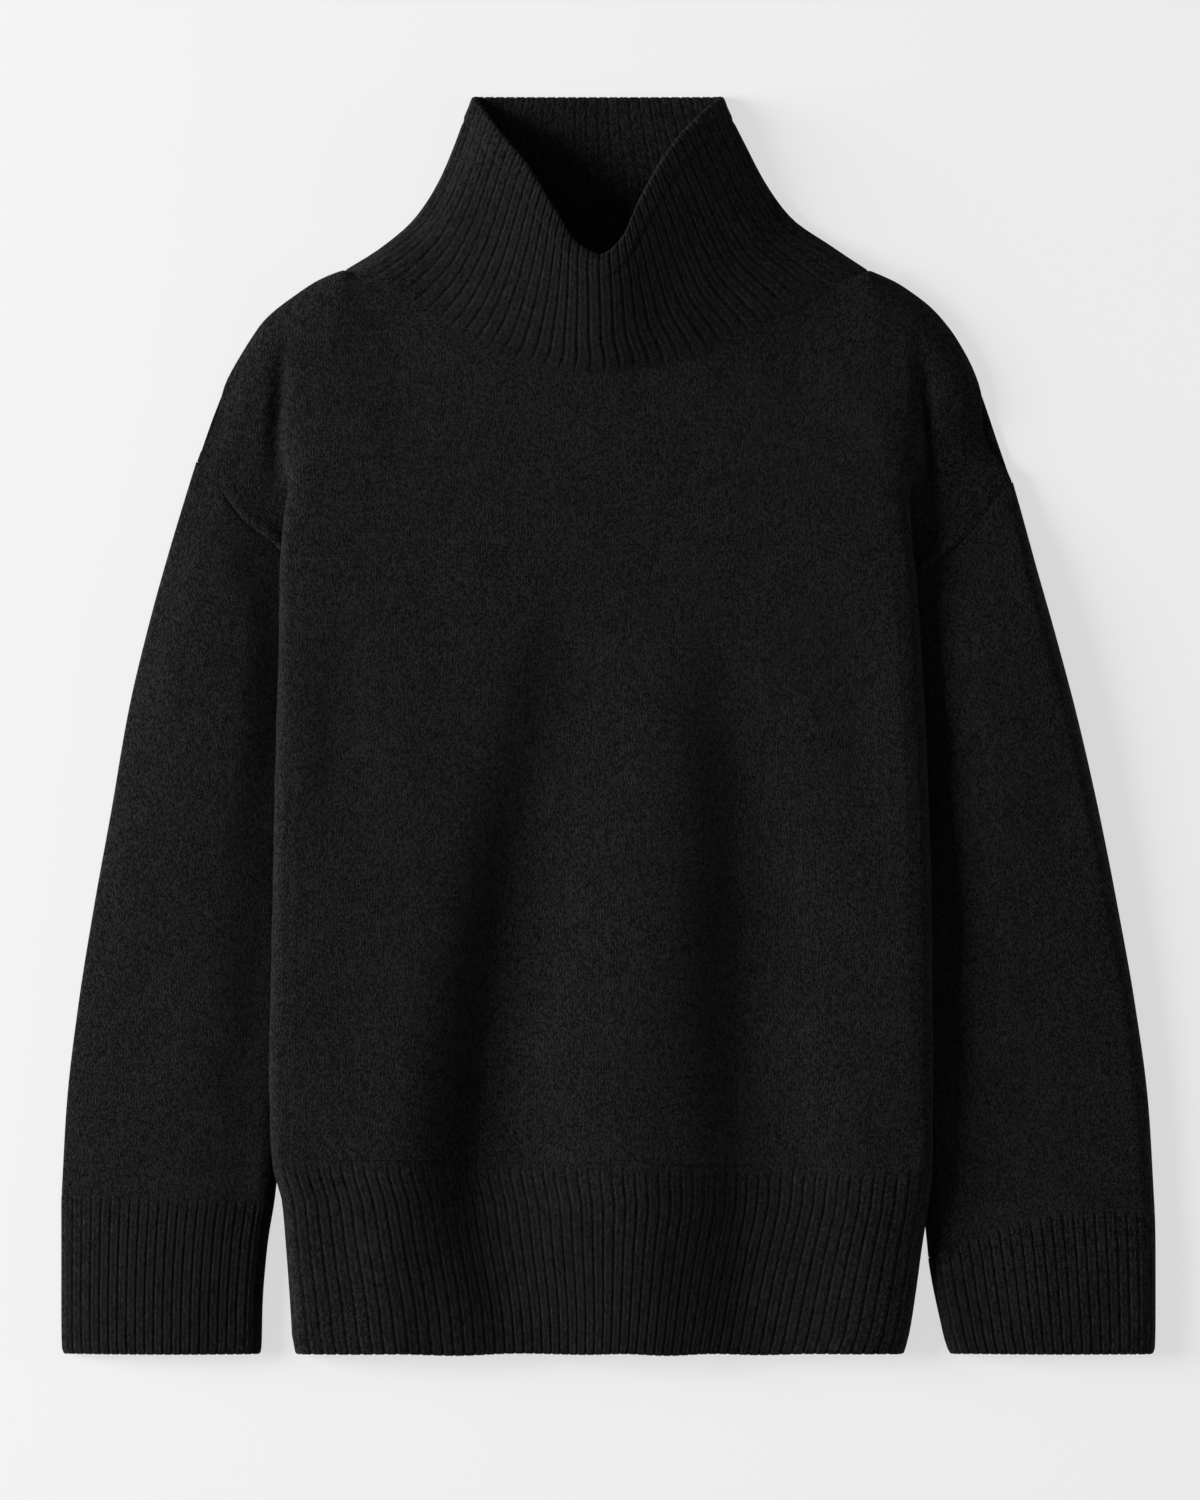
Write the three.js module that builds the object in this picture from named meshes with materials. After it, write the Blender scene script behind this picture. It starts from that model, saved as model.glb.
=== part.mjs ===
// Turtleneck sweater laid flat on its back: plain-knit front and back panels,
// two set-in drop-shoulder sleeves, and ribbed hem, cuffs and funnel collar.
// Millimetres, +Z up off the surface, +Y toward the collar, +X toward the
// wearer's left sleeve. Every piece is a wall of real cloth thickness lofted
// through the sections in the tables below.
import * as THREE from 'three';

// ---- driving sizes (mm) ----------------------------------------------------
const WALL = 2.4;          // plain knit, wall thickness
const RIB = 3.2;           // 2x2 rib, wall thickness
const GAP = 0.3;           // clear space along every seam
const HEM_END = -376.2;    // lower edge of hem and cuffs
const HEM_SEAM_Y = -261.5; // hem rib seam on the centre line
const HEM_SEAM_TILT = -0.0155;
const SEAM_REST = WALL + GAP + 0.1; // lower edge of the front where it stands on the back
const ROLL = 10;           // radius of the rounded side fold
const U_FOLD = 0.12;       // share of the front's width spent on fold and overhang
const U_CROWN = 0.19;
const U_NECK = 0.197;      // where the shoulder line ends and the neckline starts
const V_UNDERARM = 0.62;   // share of the front's length below the underarm
const FOLD_FULL_Y = 90;    // side fold is full below this height
const FOLD_GONE_Y = 208;   // and has opened out above this one
const SHOULDER_DROP = 0.84;
const EDGE_ROUND = 11;     // length over which a laid edge rounds down
const TUCK_HEIGHT = 10.6;  // height of a sleeve where the body's fold lies over it

// ---- section tables --------------------------------------------------------
// Body: outer line of both side folds, side seams hidden below them, and the
// mid-wall heights of fold, crown and centre line at each level.
const BODY = [
  { y: -376.2, foldL: -190.5, foldR: 181.0, seamL: -187.0, seamR: 177.5, fold: 6.0, crown: 13.5, mid: 15.5 },
  { y: -356.4, foldL: -191.1, foldR: 183.9, seamL: -187.4, seamR: 180.2, fold: 6.5, crown: 15.0, mid: 17.0 },
  { y: -308.4, foldL: -193.5, foldR: 188.7, seamL: -189.0, seamR: 184.5, fold: 8.0, crown: 18.5, mid: 21.0 },
  { y: -284.4, foldL: -195.3, foldR: 191.8, seamL: -189.6, seamR: 185.0, fold: 10.5, crown: 20.5, mid: 22.8 },
  { y: -262.0, foldL: -201.0, foldR: 193.9, seamL: -190.4, seamR: 182.0, fold: 14.0, crown: 22.5, mid: 24.0 },
  { y: -212.4, foldL: -203.1, foldR: 194.1, seamL: -188.5, seamR: 179.0, fold: 15.0, crown: 24.0, mid: 25.6 },
  { y: -122.4, foldL: -201.3, foldR: 193.5, seamL: -185.5, seamR: 177.0, fold: 15.0, crown: 25.0, mid: 26.4 },
  { y: -32.4, foldL: -199.5, foldR: 191.1, seamL: -183.0, seamR: 174.5, fold: 15.0, crown: 25.0, mid: 26.6 },
  { y: 57.6, foldL: -197.1, foldR: 186.3, seamL: -181.5, seamR: 171.0, fold: 15.0, crown: 24.0, mid: 26.0 },
  { y: 117.6, foldL: -196.5, foldR: 182.1, seamL: -182.0, seamR: 169.0, fold: 15.0, crown: 22.5, mid: 25.5 },
  { y: 177.6, foldL: -192.3, foldR: 179.1, seamL: -184.0, seamR: 170.0, fold: 14.0, crown: 19.5, mid: 24.5 },
  { y: 212.0, foldL: -190.0, foldR: 179.7, seamL: -186.0, seamR: 174.0, fold: 13.0, crown: 17.0, mid: 23.5 },
];
// Shoulder line on each side, keyed by the front panel's own parameter.
const SHOULDER = [
  { u: 0.0, xL: -246.3, yL: 158.4, xR: 241.5, yR: 146.4 },
  { u: 0.025, xL: -237.9, yL: 183.6, xR: 233.1, yR: 171.6 },
  { u: 0.05, xL: -228.3, yL: 207.6, xR: 225.3, yR: 195.6 },
  { u: 0.075, xL: -214.5, yL: 231.6, xR: 215.7, yR: 219.6 },
  { u: 0.095, xL: -206.1, yL: 243.6, xR: 205.0, yR: 237.6 },
  { u: 0.12, xL: -191.7, yL: 255.6, xR: 192.0, yR: 252.0 },
  { u: 0.16, xL: -172.5, yL: 267.6, xR: 171.0, yR: 266.8 },
  { u: 0.197, xL: -158.1, yL: 272.4, xR: 155.7, yR: 272.4 },
];
// Armholes, shoulder end (s 0) to underarm (s 1), and mid-wall height there.
const ARMHOLE = [
  { s: 0.0, xL: -246.3, yL: 158.4, xR: 241.5, yR: 146.4, z: 2.8 },
  { s: 0.15, xL: -236.2, yL: 146.2, xR: 231.3, yR: 135.0, z: 8.2 },
  { s: 0.4, xL: -221.5, yL: 125.2, xR: 214.5, yR: 113.8, z: 10.4 },
  { s: 0.7, xL: -201.8, yL: 110.2, xR: 193.0, yR: 96.4, z: 10.0 },
  { s: 1.0, xL: -183.3, yL: 91.2, xR: 171.3, yR: 84.6, z: 8.2 },
];
// Necklines: front curve, back curve, and mid-wall height of the front one.
const NECK = [
  { x: -158.1, front: 272.4, back: 272.4, z: 2.8 },
  { x: -139.5, front: 261.0, back: 268.2, z: 12.5 },
  { x: -105.3, front: 234.6, back: 262.0, z: 17.5 },
  { x: -53.7, front: 215.4, back: 257.4, z: 21.5 },
  { x: -5.1, front: 210.0, back: 256.0, z: 22.5 },
  { x: 37.5, front: 216.0, back: 256.8, z: 21.5 },
  { x: 83.7, front: 231.0, back: 260.0, z: 18.5 },
  { x: 123.3, front: 255.6, back: 265.0, z: 14.0 },
  { x: 155.7, front: 272.4, back: 272.4, z: 2.8 },
];
// Collar: side outlines from neck seam (v 0) to lip (v 1), height of the
// bulge added to the front half at mid width.
const COLLAR = [
  { v: 0.0, xL: -158.1, yL: 272.4, xR: 155.7, yR: 272.4, bulge: 0 },
  { v: 0.14, xL: -136.5, yL: 286.4, xR: 135.0, yR: 286.4, bulge: 2.2 },
  { v: 0.3, xL: -117.5, yL: 303.0, xR: 111.2, yR: 303.0, bulge: 4.2 },
  { v: 0.48, xL: -102.8, yL: 325.2, xR: 94.6, yR: 325.2, bulge: 5.2 },
  { v: 0.68, xL: -93.0, yL: 347.6, xR: 82.8, yR: 347.6, bulge: 4.6 },
  { v: 0.86, xL: -86.5, yL: 365.0, xR: 74.0, yR: 365.0, bulge: 2.6 },
  { v: 1.0, xL: -81.6, yL: 376.2, xR: 68.9, yR: 376.2, bulge: 0 },
];
// Front lip of the collar, left corner (s 0) to right corner (s 1).
const LIP = [
  { s: 0.0, x: -81.6, y: 376.2, z: 5.5 },
  { s: 0.1, x: -69.3, y: 358.2, z: 16.0 },
  { s: 0.22, x: -49.5, y: 333.6, z: 25.0 },
  { s: 0.34, x: -32.7, y: 306.6, z: 31.0 },
  { s: 0.42, x: -18.9, y: 286.2, z: 34.0 },
  { s: 0.5, x: -4.5, y: 279.6, z: 35.0 },
  { s: 0.57, x: 7.5, y: 288.5, z: 34.0 },
  { s: 0.66, x: 19.0, y: 312.0, z: 31.0 },
  { s: 0.79, x: 37.5, y: 343.8, z: 24.5 },
  { s: 0.91, x: 57.5, y: 366.0, z: 15.5 },
  { s: 1.0, x: 68.9, y: 376.2, z: 5.5 },
];
// Sleeves: section lines from outer edge to the inner edge tucked under the
// body, arch of the line toward the collar, and mid-wall height at mid width.
const SLEEVE_R = [
  { t: 0.06, ox: -252.5, oy: 140.5, ix: -185.4, iy: 80.0, arch: -3.4, h: 12.6 },
  { t: 0.16, ox: -263.0, oy: 106.0, ix: -186.2, iy: 56.0, arch: -2.2, h: 15.4 },
  { t: 0.28, ox: -275.0, oy: 63.0, ix: -187.0, iy: 24.0, arch: -0.8, h: 17.2 },
  { t: 0.42, ox: -287.6, oy: 10.0, ix: -188.4, iy: -20.0, arch: 0, h: 17.2 },
  { t: 0.56, ox: -298.0, oy: -50.0, ix: -189.8, iy: -72.0, arch: 0, h: 16.4 },
  { t: 0.7, ox: -308.8, oy: -110.0, ix: -191.2, iy: -125.0, arch: 0, h: 15.2 },
  { t: 0.82, ox: -318.0, oy: -168.0, ix: -192.6, iy: -178.0, arch: 0, h: 14.0 },
  { t: 0.92, ox: -324.8, oy: -226.0, ix: -194.6, iy: -232.0, arch: 0, h: 12.9 },
  { t: 1.0, ox: -327.9, oy: -280.0, ix: -200.2, iy: -285.0, arch: 0, h: 12.2 },
];
const SLEEVE_L = [
  { t: 0.06, ox: 247.2, oy: 129.0, ix: 173.2, iy: 73.0, arch: -3.6, h: 12.6 },
  { t: 0.16, ox: 256.6, oy: 95.0, ix: 174.0, iy: 50.0, arch: -2.4, h: 15.4 },
  { t: 0.28, ox: 267.4, oy: 57.0, ix: 175.6, iy: 20.0, arch: -0.8, h: 17.0 },
  { t: 0.42, ox: 281.2, oy: 5.0, ix: 178.4, iy: -24.0, arch: 0, h: 17.0 },
  { t: 0.56, ox: 294.6, oy: -54.0, ix: 180.8, iy: -77.0, arch: 0, h: 16.0 },
  { t: 0.7, ox: 306.0, oy: -112.0, ix: 181.8, iy: -131.0, arch: 1, h: 14.8 },
  { t: 0.82, ox: 316.2, oy: -170.0, ix: 182.4, iy: -187.0, arch: 3, h: 13.6 },
  { t: 0.92, ox: 323.8, oy: -228.0, ix: 185.4, iy: -250.0, arch: 7, h: 12.8 },
  { t: 1.0, ox: 327.6, oy: -291.0, ix: 191.8, iy: -319.0, arch: 12, h: 12.2 },
];
const CUFF_R = [
  { t: 0.0, ox: -327.9, oy: -280.0, ix: -200.2, iy: -285.0, arch: 0, h: 12.6 },
  { t: 0.3, ox: -327.9, oy: -309.0, ix: -204.4, iy: -311.0, arch: 0, h: 12.8 },
  { t: 0.7, ox: -327.9, oy: -347.0, ix: -207.4, iy: -348.0, arch: 0, h: 12.6 },
  { t: 0.95, ox: -327.6, oy: -371.6, ix: -208.0, iy: -371.6, arch: 0, h: 12.2 },
  { t: 1.0, ox: -326.2, oy: -376.2, ix: -208.8, iy: -376.2, arch: 0, h: 12.0 },
];
const CUFF_L = [
  { t: 0.0, ox: 327.6, oy: -291.0, ix: 191.8, iy: -319.0, arch: 12, h: 12.6 },
  { t: 0.3, ox: 327.9, oy: -315.0, ix: 193.9, iy: -332.0, arch: 6, h: 12.8 },
  { t: 0.7, ox: 327.9, oy: -350.0, ix: 199.0, iy: -356.0, arch: 1.5, h: 12.6 },
  { t: 0.95, ox: 327.6, oy: -371.6, ix: 203.0, iy: -371.6, arch: 0, h: 12.2 },
  { t: 1.0, ox: 326.2, oy: -376.2, ix: 205.4, iy: -376.2, arch: 0, h: 12.0 },
];
// Soft troughs (negative) and ridges of the front, each along its own line.
const FOLDS = [
  { name: 'left_trough', yTop: 140, yPeak: -130, yEnd: -330, xTop: -8, xPeak: -62, xEnd: -86, leftW: 23, rightW: 46, rise: -10.5 },
  { name: 'left_trough_low', yTop: -110, yPeak: -262, yEnd: -460, xTop: -58, xPeak: -77, xEnd: -30, leftW: 23, rightW: 46, rise: -8.8 },
  { name: 'left_ridge', yTop: 10, yPeak: -300, yEnd: -800, xTop: -104, xPeak: -131, xEnd: -124, leftW: 26, rightW: 22, rise: 3.0 },
  { name: 'centre_ridge', yTop: 70, yPeak: -330, yEnd: -800, xTop: 10, xPeak: 20, xEnd: 24, leftW: 34, rightW: 26, rise: 3.4 },
  { name: 'right_trough', yTop: 130, yPeak: -120, yEnd: -540, xTop: 74, xPeak: 80, xEnd: 86, leftW: 24, rightW: 48, rise: -10.4 },
  { name: 'right_ridge', yTop: -180, yPeak: -320, yEnd: -700, xTop: 152, xPeak: 154, xEnd: 150, leftW: 24, rightW: 24, rise: 1.6 },
  { name: 'armpit_left', yTop: 120, yPeak: 10, yEnd: -120, xTop: -150, xPeak: -158, xEnd: -166, leftW: 20, rightW: 20, rise: -2.0 },
  { name: 'armpit_right', yTop: 110, yPeak: 0, yEnd: -130, xTop: 138, xPeak: 150, xEnd: 158, leftW: 20, rightW: 20, rise: -2.2 },
];

// ---- helpers ---------------------------------------------------------------
const clamp = (x, a, b) => Math.min(b, Math.max(a, x));
const lerp = (a, b, t) => a + (b - a) * t;
const smooth = (t) => { const k = clamp(t, 0, 1); return k * k * (3 - 2 * k); };
const quarter = (t) => Math.sqrt(Math.max(0, 1 - (1 - clamp(t, 0, 1)) ** 2));

// Monotone cubic through one column of a table, keyed by another.
function column(rows, key, col) {
  const xs = rows.map((r) => r[key]);
  const ys = rows.map((r) => r[col]);
  const n = xs.length;
  const d = [];
  for (let i = 0; i < n - 1; i++) d.push((ys[i + 1] - ys[i]) / (xs[i + 1] - xs[i]));
  const m = [d[0]];
  for (let i = 1; i < n - 1; i++) {
    const [a, b] = [d[i - 1], d[i]];
    const [ha, hb] = [xs[i] - xs[i - 1], xs[i + 1] - xs[i]];
    m.push(a * b <= 0 ? 0 : (3 * (ha + hb)) / ((2 * hb + ha) / a + (hb + 2 * ha) / b));
  }
  m.push(d[n - 2]);
  return (x) => {
    const k = clamp(x, xs[0], xs[n - 1]);
    let i = 0;
    while (i < n - 2 && k > xs[i + 1]) i++;
    const h = xs[i + 1] - xs[i];
    const t = (k - xs[i]) / h;
    return (2 * t ** 3 - 3 * t ** 2 + 1) * ys[i] + (t ** 3 - 2 * t ** 2 + t) * h * m[i]
      + (3 * t ** 2 - 2 * t ** 3) * ys[i + 1] + (t ** 3 - t ** 2) * h * m[i + 1];
  };
}
const columns = (rows, key, names) => Object.fromEntries(names.map((c) => [c, column(rows, key, c)]));

const body = columns(BODY, 'y', ['foldL', 'foldR', 'seamL', 'seamR', 'fold', 'crown', 'mid']);
const shoulder = columns(SHOULDER, 'u', ['xL', 'yL', 'xR', 'yR']);
const armhole = columns(ARMHOLE, 's', ['xL', 'yL', 'xR', 'yR', 'z']);
const neck = columns(NECK, 'x', ['front', 'back', 'z']);
const collar = columns(COLLAR, 'v', ['xL', 'yL', 'xR', 'yR', 'bulge']);
const lip = columns(LIP, 's', ['x', 'y', 'z']);
const foldLines = FOLDS.map((f) => ({
  ...f,
  x: column([{ y: f.yEnd, x: f.xEnd }, { y: f.yPeak, x: f.xPeak }, { y: f.yTop, x: f.xTop }], 'y', 'x'),
}));

const hemSeam = (x) => HEM_SEAM_Y + HEM_SEAM_TILT * x;

// Height added by the troughs and ridges.
function relief(x, y) {
  let z = 0;
  for (const f of foldLines) {
    const along = y > f.yPeak ? (f.yTop - y) / (f.yTop - f.yPeak) : (y - f.yEnd) / (f.yPeak - f.yEnd);
    if (along <= 0) continue;
    const off = x - f.x(y);
    z += f.rise * smooth(along) * Math.exp(-((off / (off < 0 ? f.leftW : f.rightW)) ** 2));
  }
  return z;
}

const NECK_X0 = NECK[0].x;
const NECK_X1 = NECK[NECK.length - 1].x;
const neckX = (s) => lerp(NECK_X0, NECK_X1, s);

// Outline of the panels above the underarm, moved in by half a wall.
function topEdge(u, back) {
  const inset = WALL / 2;
  if (u <= U_NECK || u >= 1 - U_NECK) {
    const left = u <= U_NECK;
    const k = left ? u : 1 - u;
    const [cx, cy] = left ? ['xL', 'yL'] : ['xR', 'yR'];
    const a = [shoulder[cx](k - 0.004), shoulder[cy](k - 0.004)];
    const b = [shoulder[cx](k + 0.004), shoulder[cy](k + 0.004)];
    const l = Math.hypot(b[0] - a[0], b[1] - a[1]);
    const side = left ? 1 : -1;
    const fade = 1 - smooth((k - 0.15) / (U_NECK - 0.15)) * 0.6;
    return [
      shoulder[cx](k) + (side * (b[1] - a[1]) / l) * inset * fade,
      shoulder[cy](k) - (side * (b[0] - a[0]) / l) * inset * fade,
    ];
  }
  const s = (u - U_NECK) / (1 - 2 * U_NECK);
  const x = neckX(s);
  return [x, back ? neck.back(x) : neck.front(x)];
}

// Plan position of a panel above its underarm row (w 0) up to the top (w 1).
function upperPlan(u, w, bottom, back) {
  const arm = (side, t) => [armhole[side === 0 ? 'xL' : 'xR'](1 - t), armhole[side === 0 ? 'yL' : 'yR'](1 - t)];
  const b = bottom(u);
  const t = topEdge(u, back);
  const out = [0, 1].map((i) => lerp(b[i], t[i], w));
  const spread = [Math.max(0, 1 - u / 0.19) ** 2, Math.max(0, 1 - (1 - u) / 0.19) ** 2];
  for (const side of [0, 1]) {
    if (spread[side] === 0) continue;
    const edge = arm(side, w);
    const b0 = bottom(side);
    const t0 = topEdge(side, back);
    for (const i of [0, 1]) out[i] += spread[side] * (edge[i] - lerp(b0[i], t0[i], w));
  }
  return out;
}

// Rounded side fold with its overhang: x runs in from the fold line.
function foldPath(u, y, side, half) {
  const dir = side === 0 ? 1 : -1;
  const xf = (side === 0 ? body.foldL(y) : body.foldR(y)) + dir * half;
  const seam = side === 0 ? body.seamL(y) : body.seamR(y);
  const over = Math.abs(seam - xf);
  const zf = body.fold(y);
  const zc = body.crown(y);
  const reach = ROLL * 1.3;
  const k = clamp(over / 9, 0, 1);
  const rows = [
    { u: 0.0, x: over, z: 0 },
    { u: 0.03, x: over, z: 0.45 * zf * 0.62 },
    { u: 0.06, x: over * lerp(0.8, 0.94, k), z: 0.6 * zf - 0.6 },
    { u: 0.085, x: over * lerp(0.4, 0.5, k), z: 0.74 * zf - 0.5 },
    { u: 0.105, x: over * 0.12, z: 0.88 * zf },
    { u: U_FOLD, x: 0, z: zf },
    { u: 0.135, x: reach * 0.1, z: lerp(zf, zc, 0.5) },
    { u: 0.155, x: reach * 0.36, z: lerp(zf, zc, 0.82) },
    { u: U_CROWN, x: reach, z: zc },
  ];
  return { x: xf + dir * column(rows, 'u', 'x')(u), z: column(rows, 'u', 'z')(u) };
}

// Mid-wall height of the body's top surface between the two crowns.
function bodyTop(x, y) {
  const a = body.foldL(y) + ROLL * 1.3;
  const b = body.foldR(y) - ROLL * 1.3;
  const t = clamp((x - a) / (b - a), 0, 1);
  const arch = Math.sin(Math.PI * t) ** 0.8;
  return lerp(body.crown(y), body.mid(y), arch) + relief(x, y) * smooth(Math.min(t, 1 - t) / 0.1 + 0.35);
}

// Point of the front's lower part (below the underarm row) at height y.
function bodyPoint(u, y, half, base) {
  const side = u < 0.5 ? 0 : 1;
  const k = side === 0 ? u : 1 - u;
  if (k <= U_CROWN) {
    const p = foldPath(k, y, side, half);
    return [p.x, Math.max(p.z, base)];
  }
  const a = foldPath(U_CROWN, y, 0, half).x;
  const b = foldPath(U_CROWN, y, 1, half).x;
  const x = lerp(a, b, (u - U_CROWN) / (1 - 2 * U_CROWN));
  return [x, bodyTop(x, y)];
}

const underarmY = (u) => lerp(ARMHOLE[4].yL, ARMHOLE[4].yR, u);

function frontPoint(u, v) {
  const half = WALL / 2;
  const side = u < 0.5 ? 0 : 1;
  const k = side === 0 ? u : 1 - u;
  if (v <= V_UNDERARM) {
    const t = v / V_UNDERARM;
    const guess = bodyPoint(u, lerp(HEM_SEAM_Y, underarmY(u), t), half, SEAM_REST);
    const y = lerp(hemSeam(guess[0]) + GAP, underarmY(u), t);
    const p = bodyPoint(u, y, half, SEAM_REST);
    const lift = k < 0.06 ? smooth((v - V_UNDERARM + 0.03) / 0.03) * (1 - k / 0.06) * 4 : 0;
    return new THREE.Vector3(p[0], y, p[1] + lift);
  }
  const w = (v - V_UNDERARM) / (1 - V_UNDERARM);
  const bottom = (q) => {
    const p = bodyPoint(q, underarmY(q), half, SEAM_REST);
    if (q === 0) return [ARMHOLE[4].xL, ARMHOLE[4].yL];
    if (q === 1) return [ARMHOLE[4].xR, ARMHOLE[4].yR];
    return [p[0], underarmY(q)];
  };
  const flatBottom = (q) => {
    const kk = q < 0.5 ? q : 1 - q;
    if (kk >= U_CROWN) return bottom(q);
    const end = bottom(q < 0.5 ? 0 : 1);
    const crown = bottom(q < 0.5 ? U_CROWN : 1 - U_CROWN);
    return [0, 1].map((i) => lerp(end[i], crown[i], kk / U_CROWN));
  };
  let [x, y] = upperPlan(u, w, flatBottom, false);
  const sNeck = clamp((u - U_NECK) / (1 - 2 * U_NECK), 0, 1);
  const low = bodyTop(x, Math.min(y, 208));
  const rise = smooth((w - 0.25) / 0.75);
  const edgeZ = neck.z(neckX(sNeck));
  const top = lerp(Math.max(edgeZ, 15.5), edgeZ, smooth((w - 0.8) / 0.2));
  const flatEdge = armhole.z(1 - w);
  let z;
  if (k > U_CROWN) {
    const shoulderZ = lerp(15.5, top, smooth((k - U_CROWN) / 0.1));
    z = lerp(low, shoulderZ, rise);
  } else {
    const crownZ = lerp(bodyTop(x, Math.min(y, 208)), 15.5, rise);
    z = lerp(flatEdge, crownZ, smooth(k / U_CROWN) * 0.6 + (k / U_CROWN) * 0.4);
  }
  if (k < U_CROWN) {
    const f = 1 - smooth((y - FOLD_FULL_Y) / (FOLD_GONE_Y - FOLD_FULL_Y));
    if (f > 0) {
      const p = foldPath(k, y, side, half);
      const inward = smooth(k / 0.05);
      x = lerp(x, p.x, f * inward);
      const under = lerp(flatEdge, p.z, smooth(k / 0.06));
      z = lerp(z, Math.max(under, k < 0.08 ? 8.2 : 0), f);
    }
  }
  const q = (w - SHOULDER_DROP) / (1 - SHOULDER_DROP);
  if (q > 0) {
    const onShoulder = 1 - smooth((k - 0.15) / 0.09);
    const drop = lerp(SEAM_REST, z, Math.sqrt(Math.max(0, 1 - q * q)));
    z = lerp(z, drop, onShoulder * smooth(k / 0.02 + 0.2));
  }
  return new THREE.Vector3(x, y, Math.max(z, SEAM_REST));
}

function backPoint(u, v) {
  const side = u < 0.5 ? 0 : 1;
  const seam = (y, s) => (s === 0 ? body.seamL(y) - 2 : body.seamR(y) + 2);
  const straight = (q) => lerp(ARMHOLE[4].xL, ARMHOLE[4].xR, q);
  if (v <= V_UNDERARM) {
    const t = v / V_UNDERARM;
    const yv = lerp(HEM_SEAM_Y, underarmY(u), t);
    const blend = smooth((v - V_UNDERARM + 0.04) / 0.04);
    const x0 = lerp(seam(yv, 0), ARMHOLE[4].xL, blend);
    const x1 = lerp(seam(yv, 1), ARMHOLE[4].xR, blend);
    const x = lerp(x0, x1, u);
    return new THREE.Vector3(x, lerp(hemSeam(x) + GAP, underarmY(u), t), WALL / 2);
  }
  const w = (v - V_UNDERARM) / (1 - V_UNDERARM);
  const [x, y] = upperPlan(u, w, (q) => [straight(q), underarmY(q)], true);
  return new THREE.Vector3(x, y, WALL / 2);
}

// Flattened tube section: line from outer (s 0) to inner edge (s 1).
function tubeTop(s, width, h, half) {
  const e = EDGE_ROUND / width;
  const level = lerp(h * 0.78, h, Math.sin(Math.PI * clamp(s, 0, 1)) ** 0.7) * lerp(1, Math.min(0.74, TUCK_HEIGHT / h), smooth((s - 0.62) / 0.38));
  const edge = half + 2.1;
  return lerp(edge, level, quarter(Math.min(s, 1 - s) / e));
}
function tubeBottom(s, width, half) {
  return lerp(half + 2.1, half, quarter((Math.min(s, 1 - s) * width) / 3.2));
}
// Ring of one sleeve or cuff section at t.
function limbRing(table, first, half, sTop, sBottom) {
  const c = columns(table, 't', ['ox', 'oy', 'ix', 'iy', 'arch', 'h']);
  return (t) => {
    const o = [c.ox(t), c.oy(t)];
    const i = [c.ix(t), c.iy(t)];
    const w = Math.hypot(i[0] - o[0], i[1] - o[1]);
    const d = [(i[0] - o[0]) / w, (i[1] - o[1]) / w];
    const n = d[0] > 0 ? [-d[1], d[0]] : [d[1], -d[0]];
    const at = (s) => {
      const r = lerp(half / w, 1 - half / w, s);
      const a = c.arch(t) * 4 * r * (1 - r);
      let p = [lerp(o[0], i[0], r) + n[0] * a, lerp(o[1], i[1], r) + n[1] * a];
      if (first && t < first.until) {
        const f = first.line(s);
        const k = smooth(t / first.until);
        p = [lerp(f[0], p[0], k), lerp(f[1], p[1], k)];
      }
      return p;
    };
    const ring = [];
    for (const s of sTop) ring.push([...at(s), tubeTop(s, w, c.h(t), half)]);
    for (const s of sBottom) ring.push([...at(s), tubeBottom(s, w, half)]);
    return ring.map((p) => new THREE.Vector3(...p));
  };
}

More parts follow.
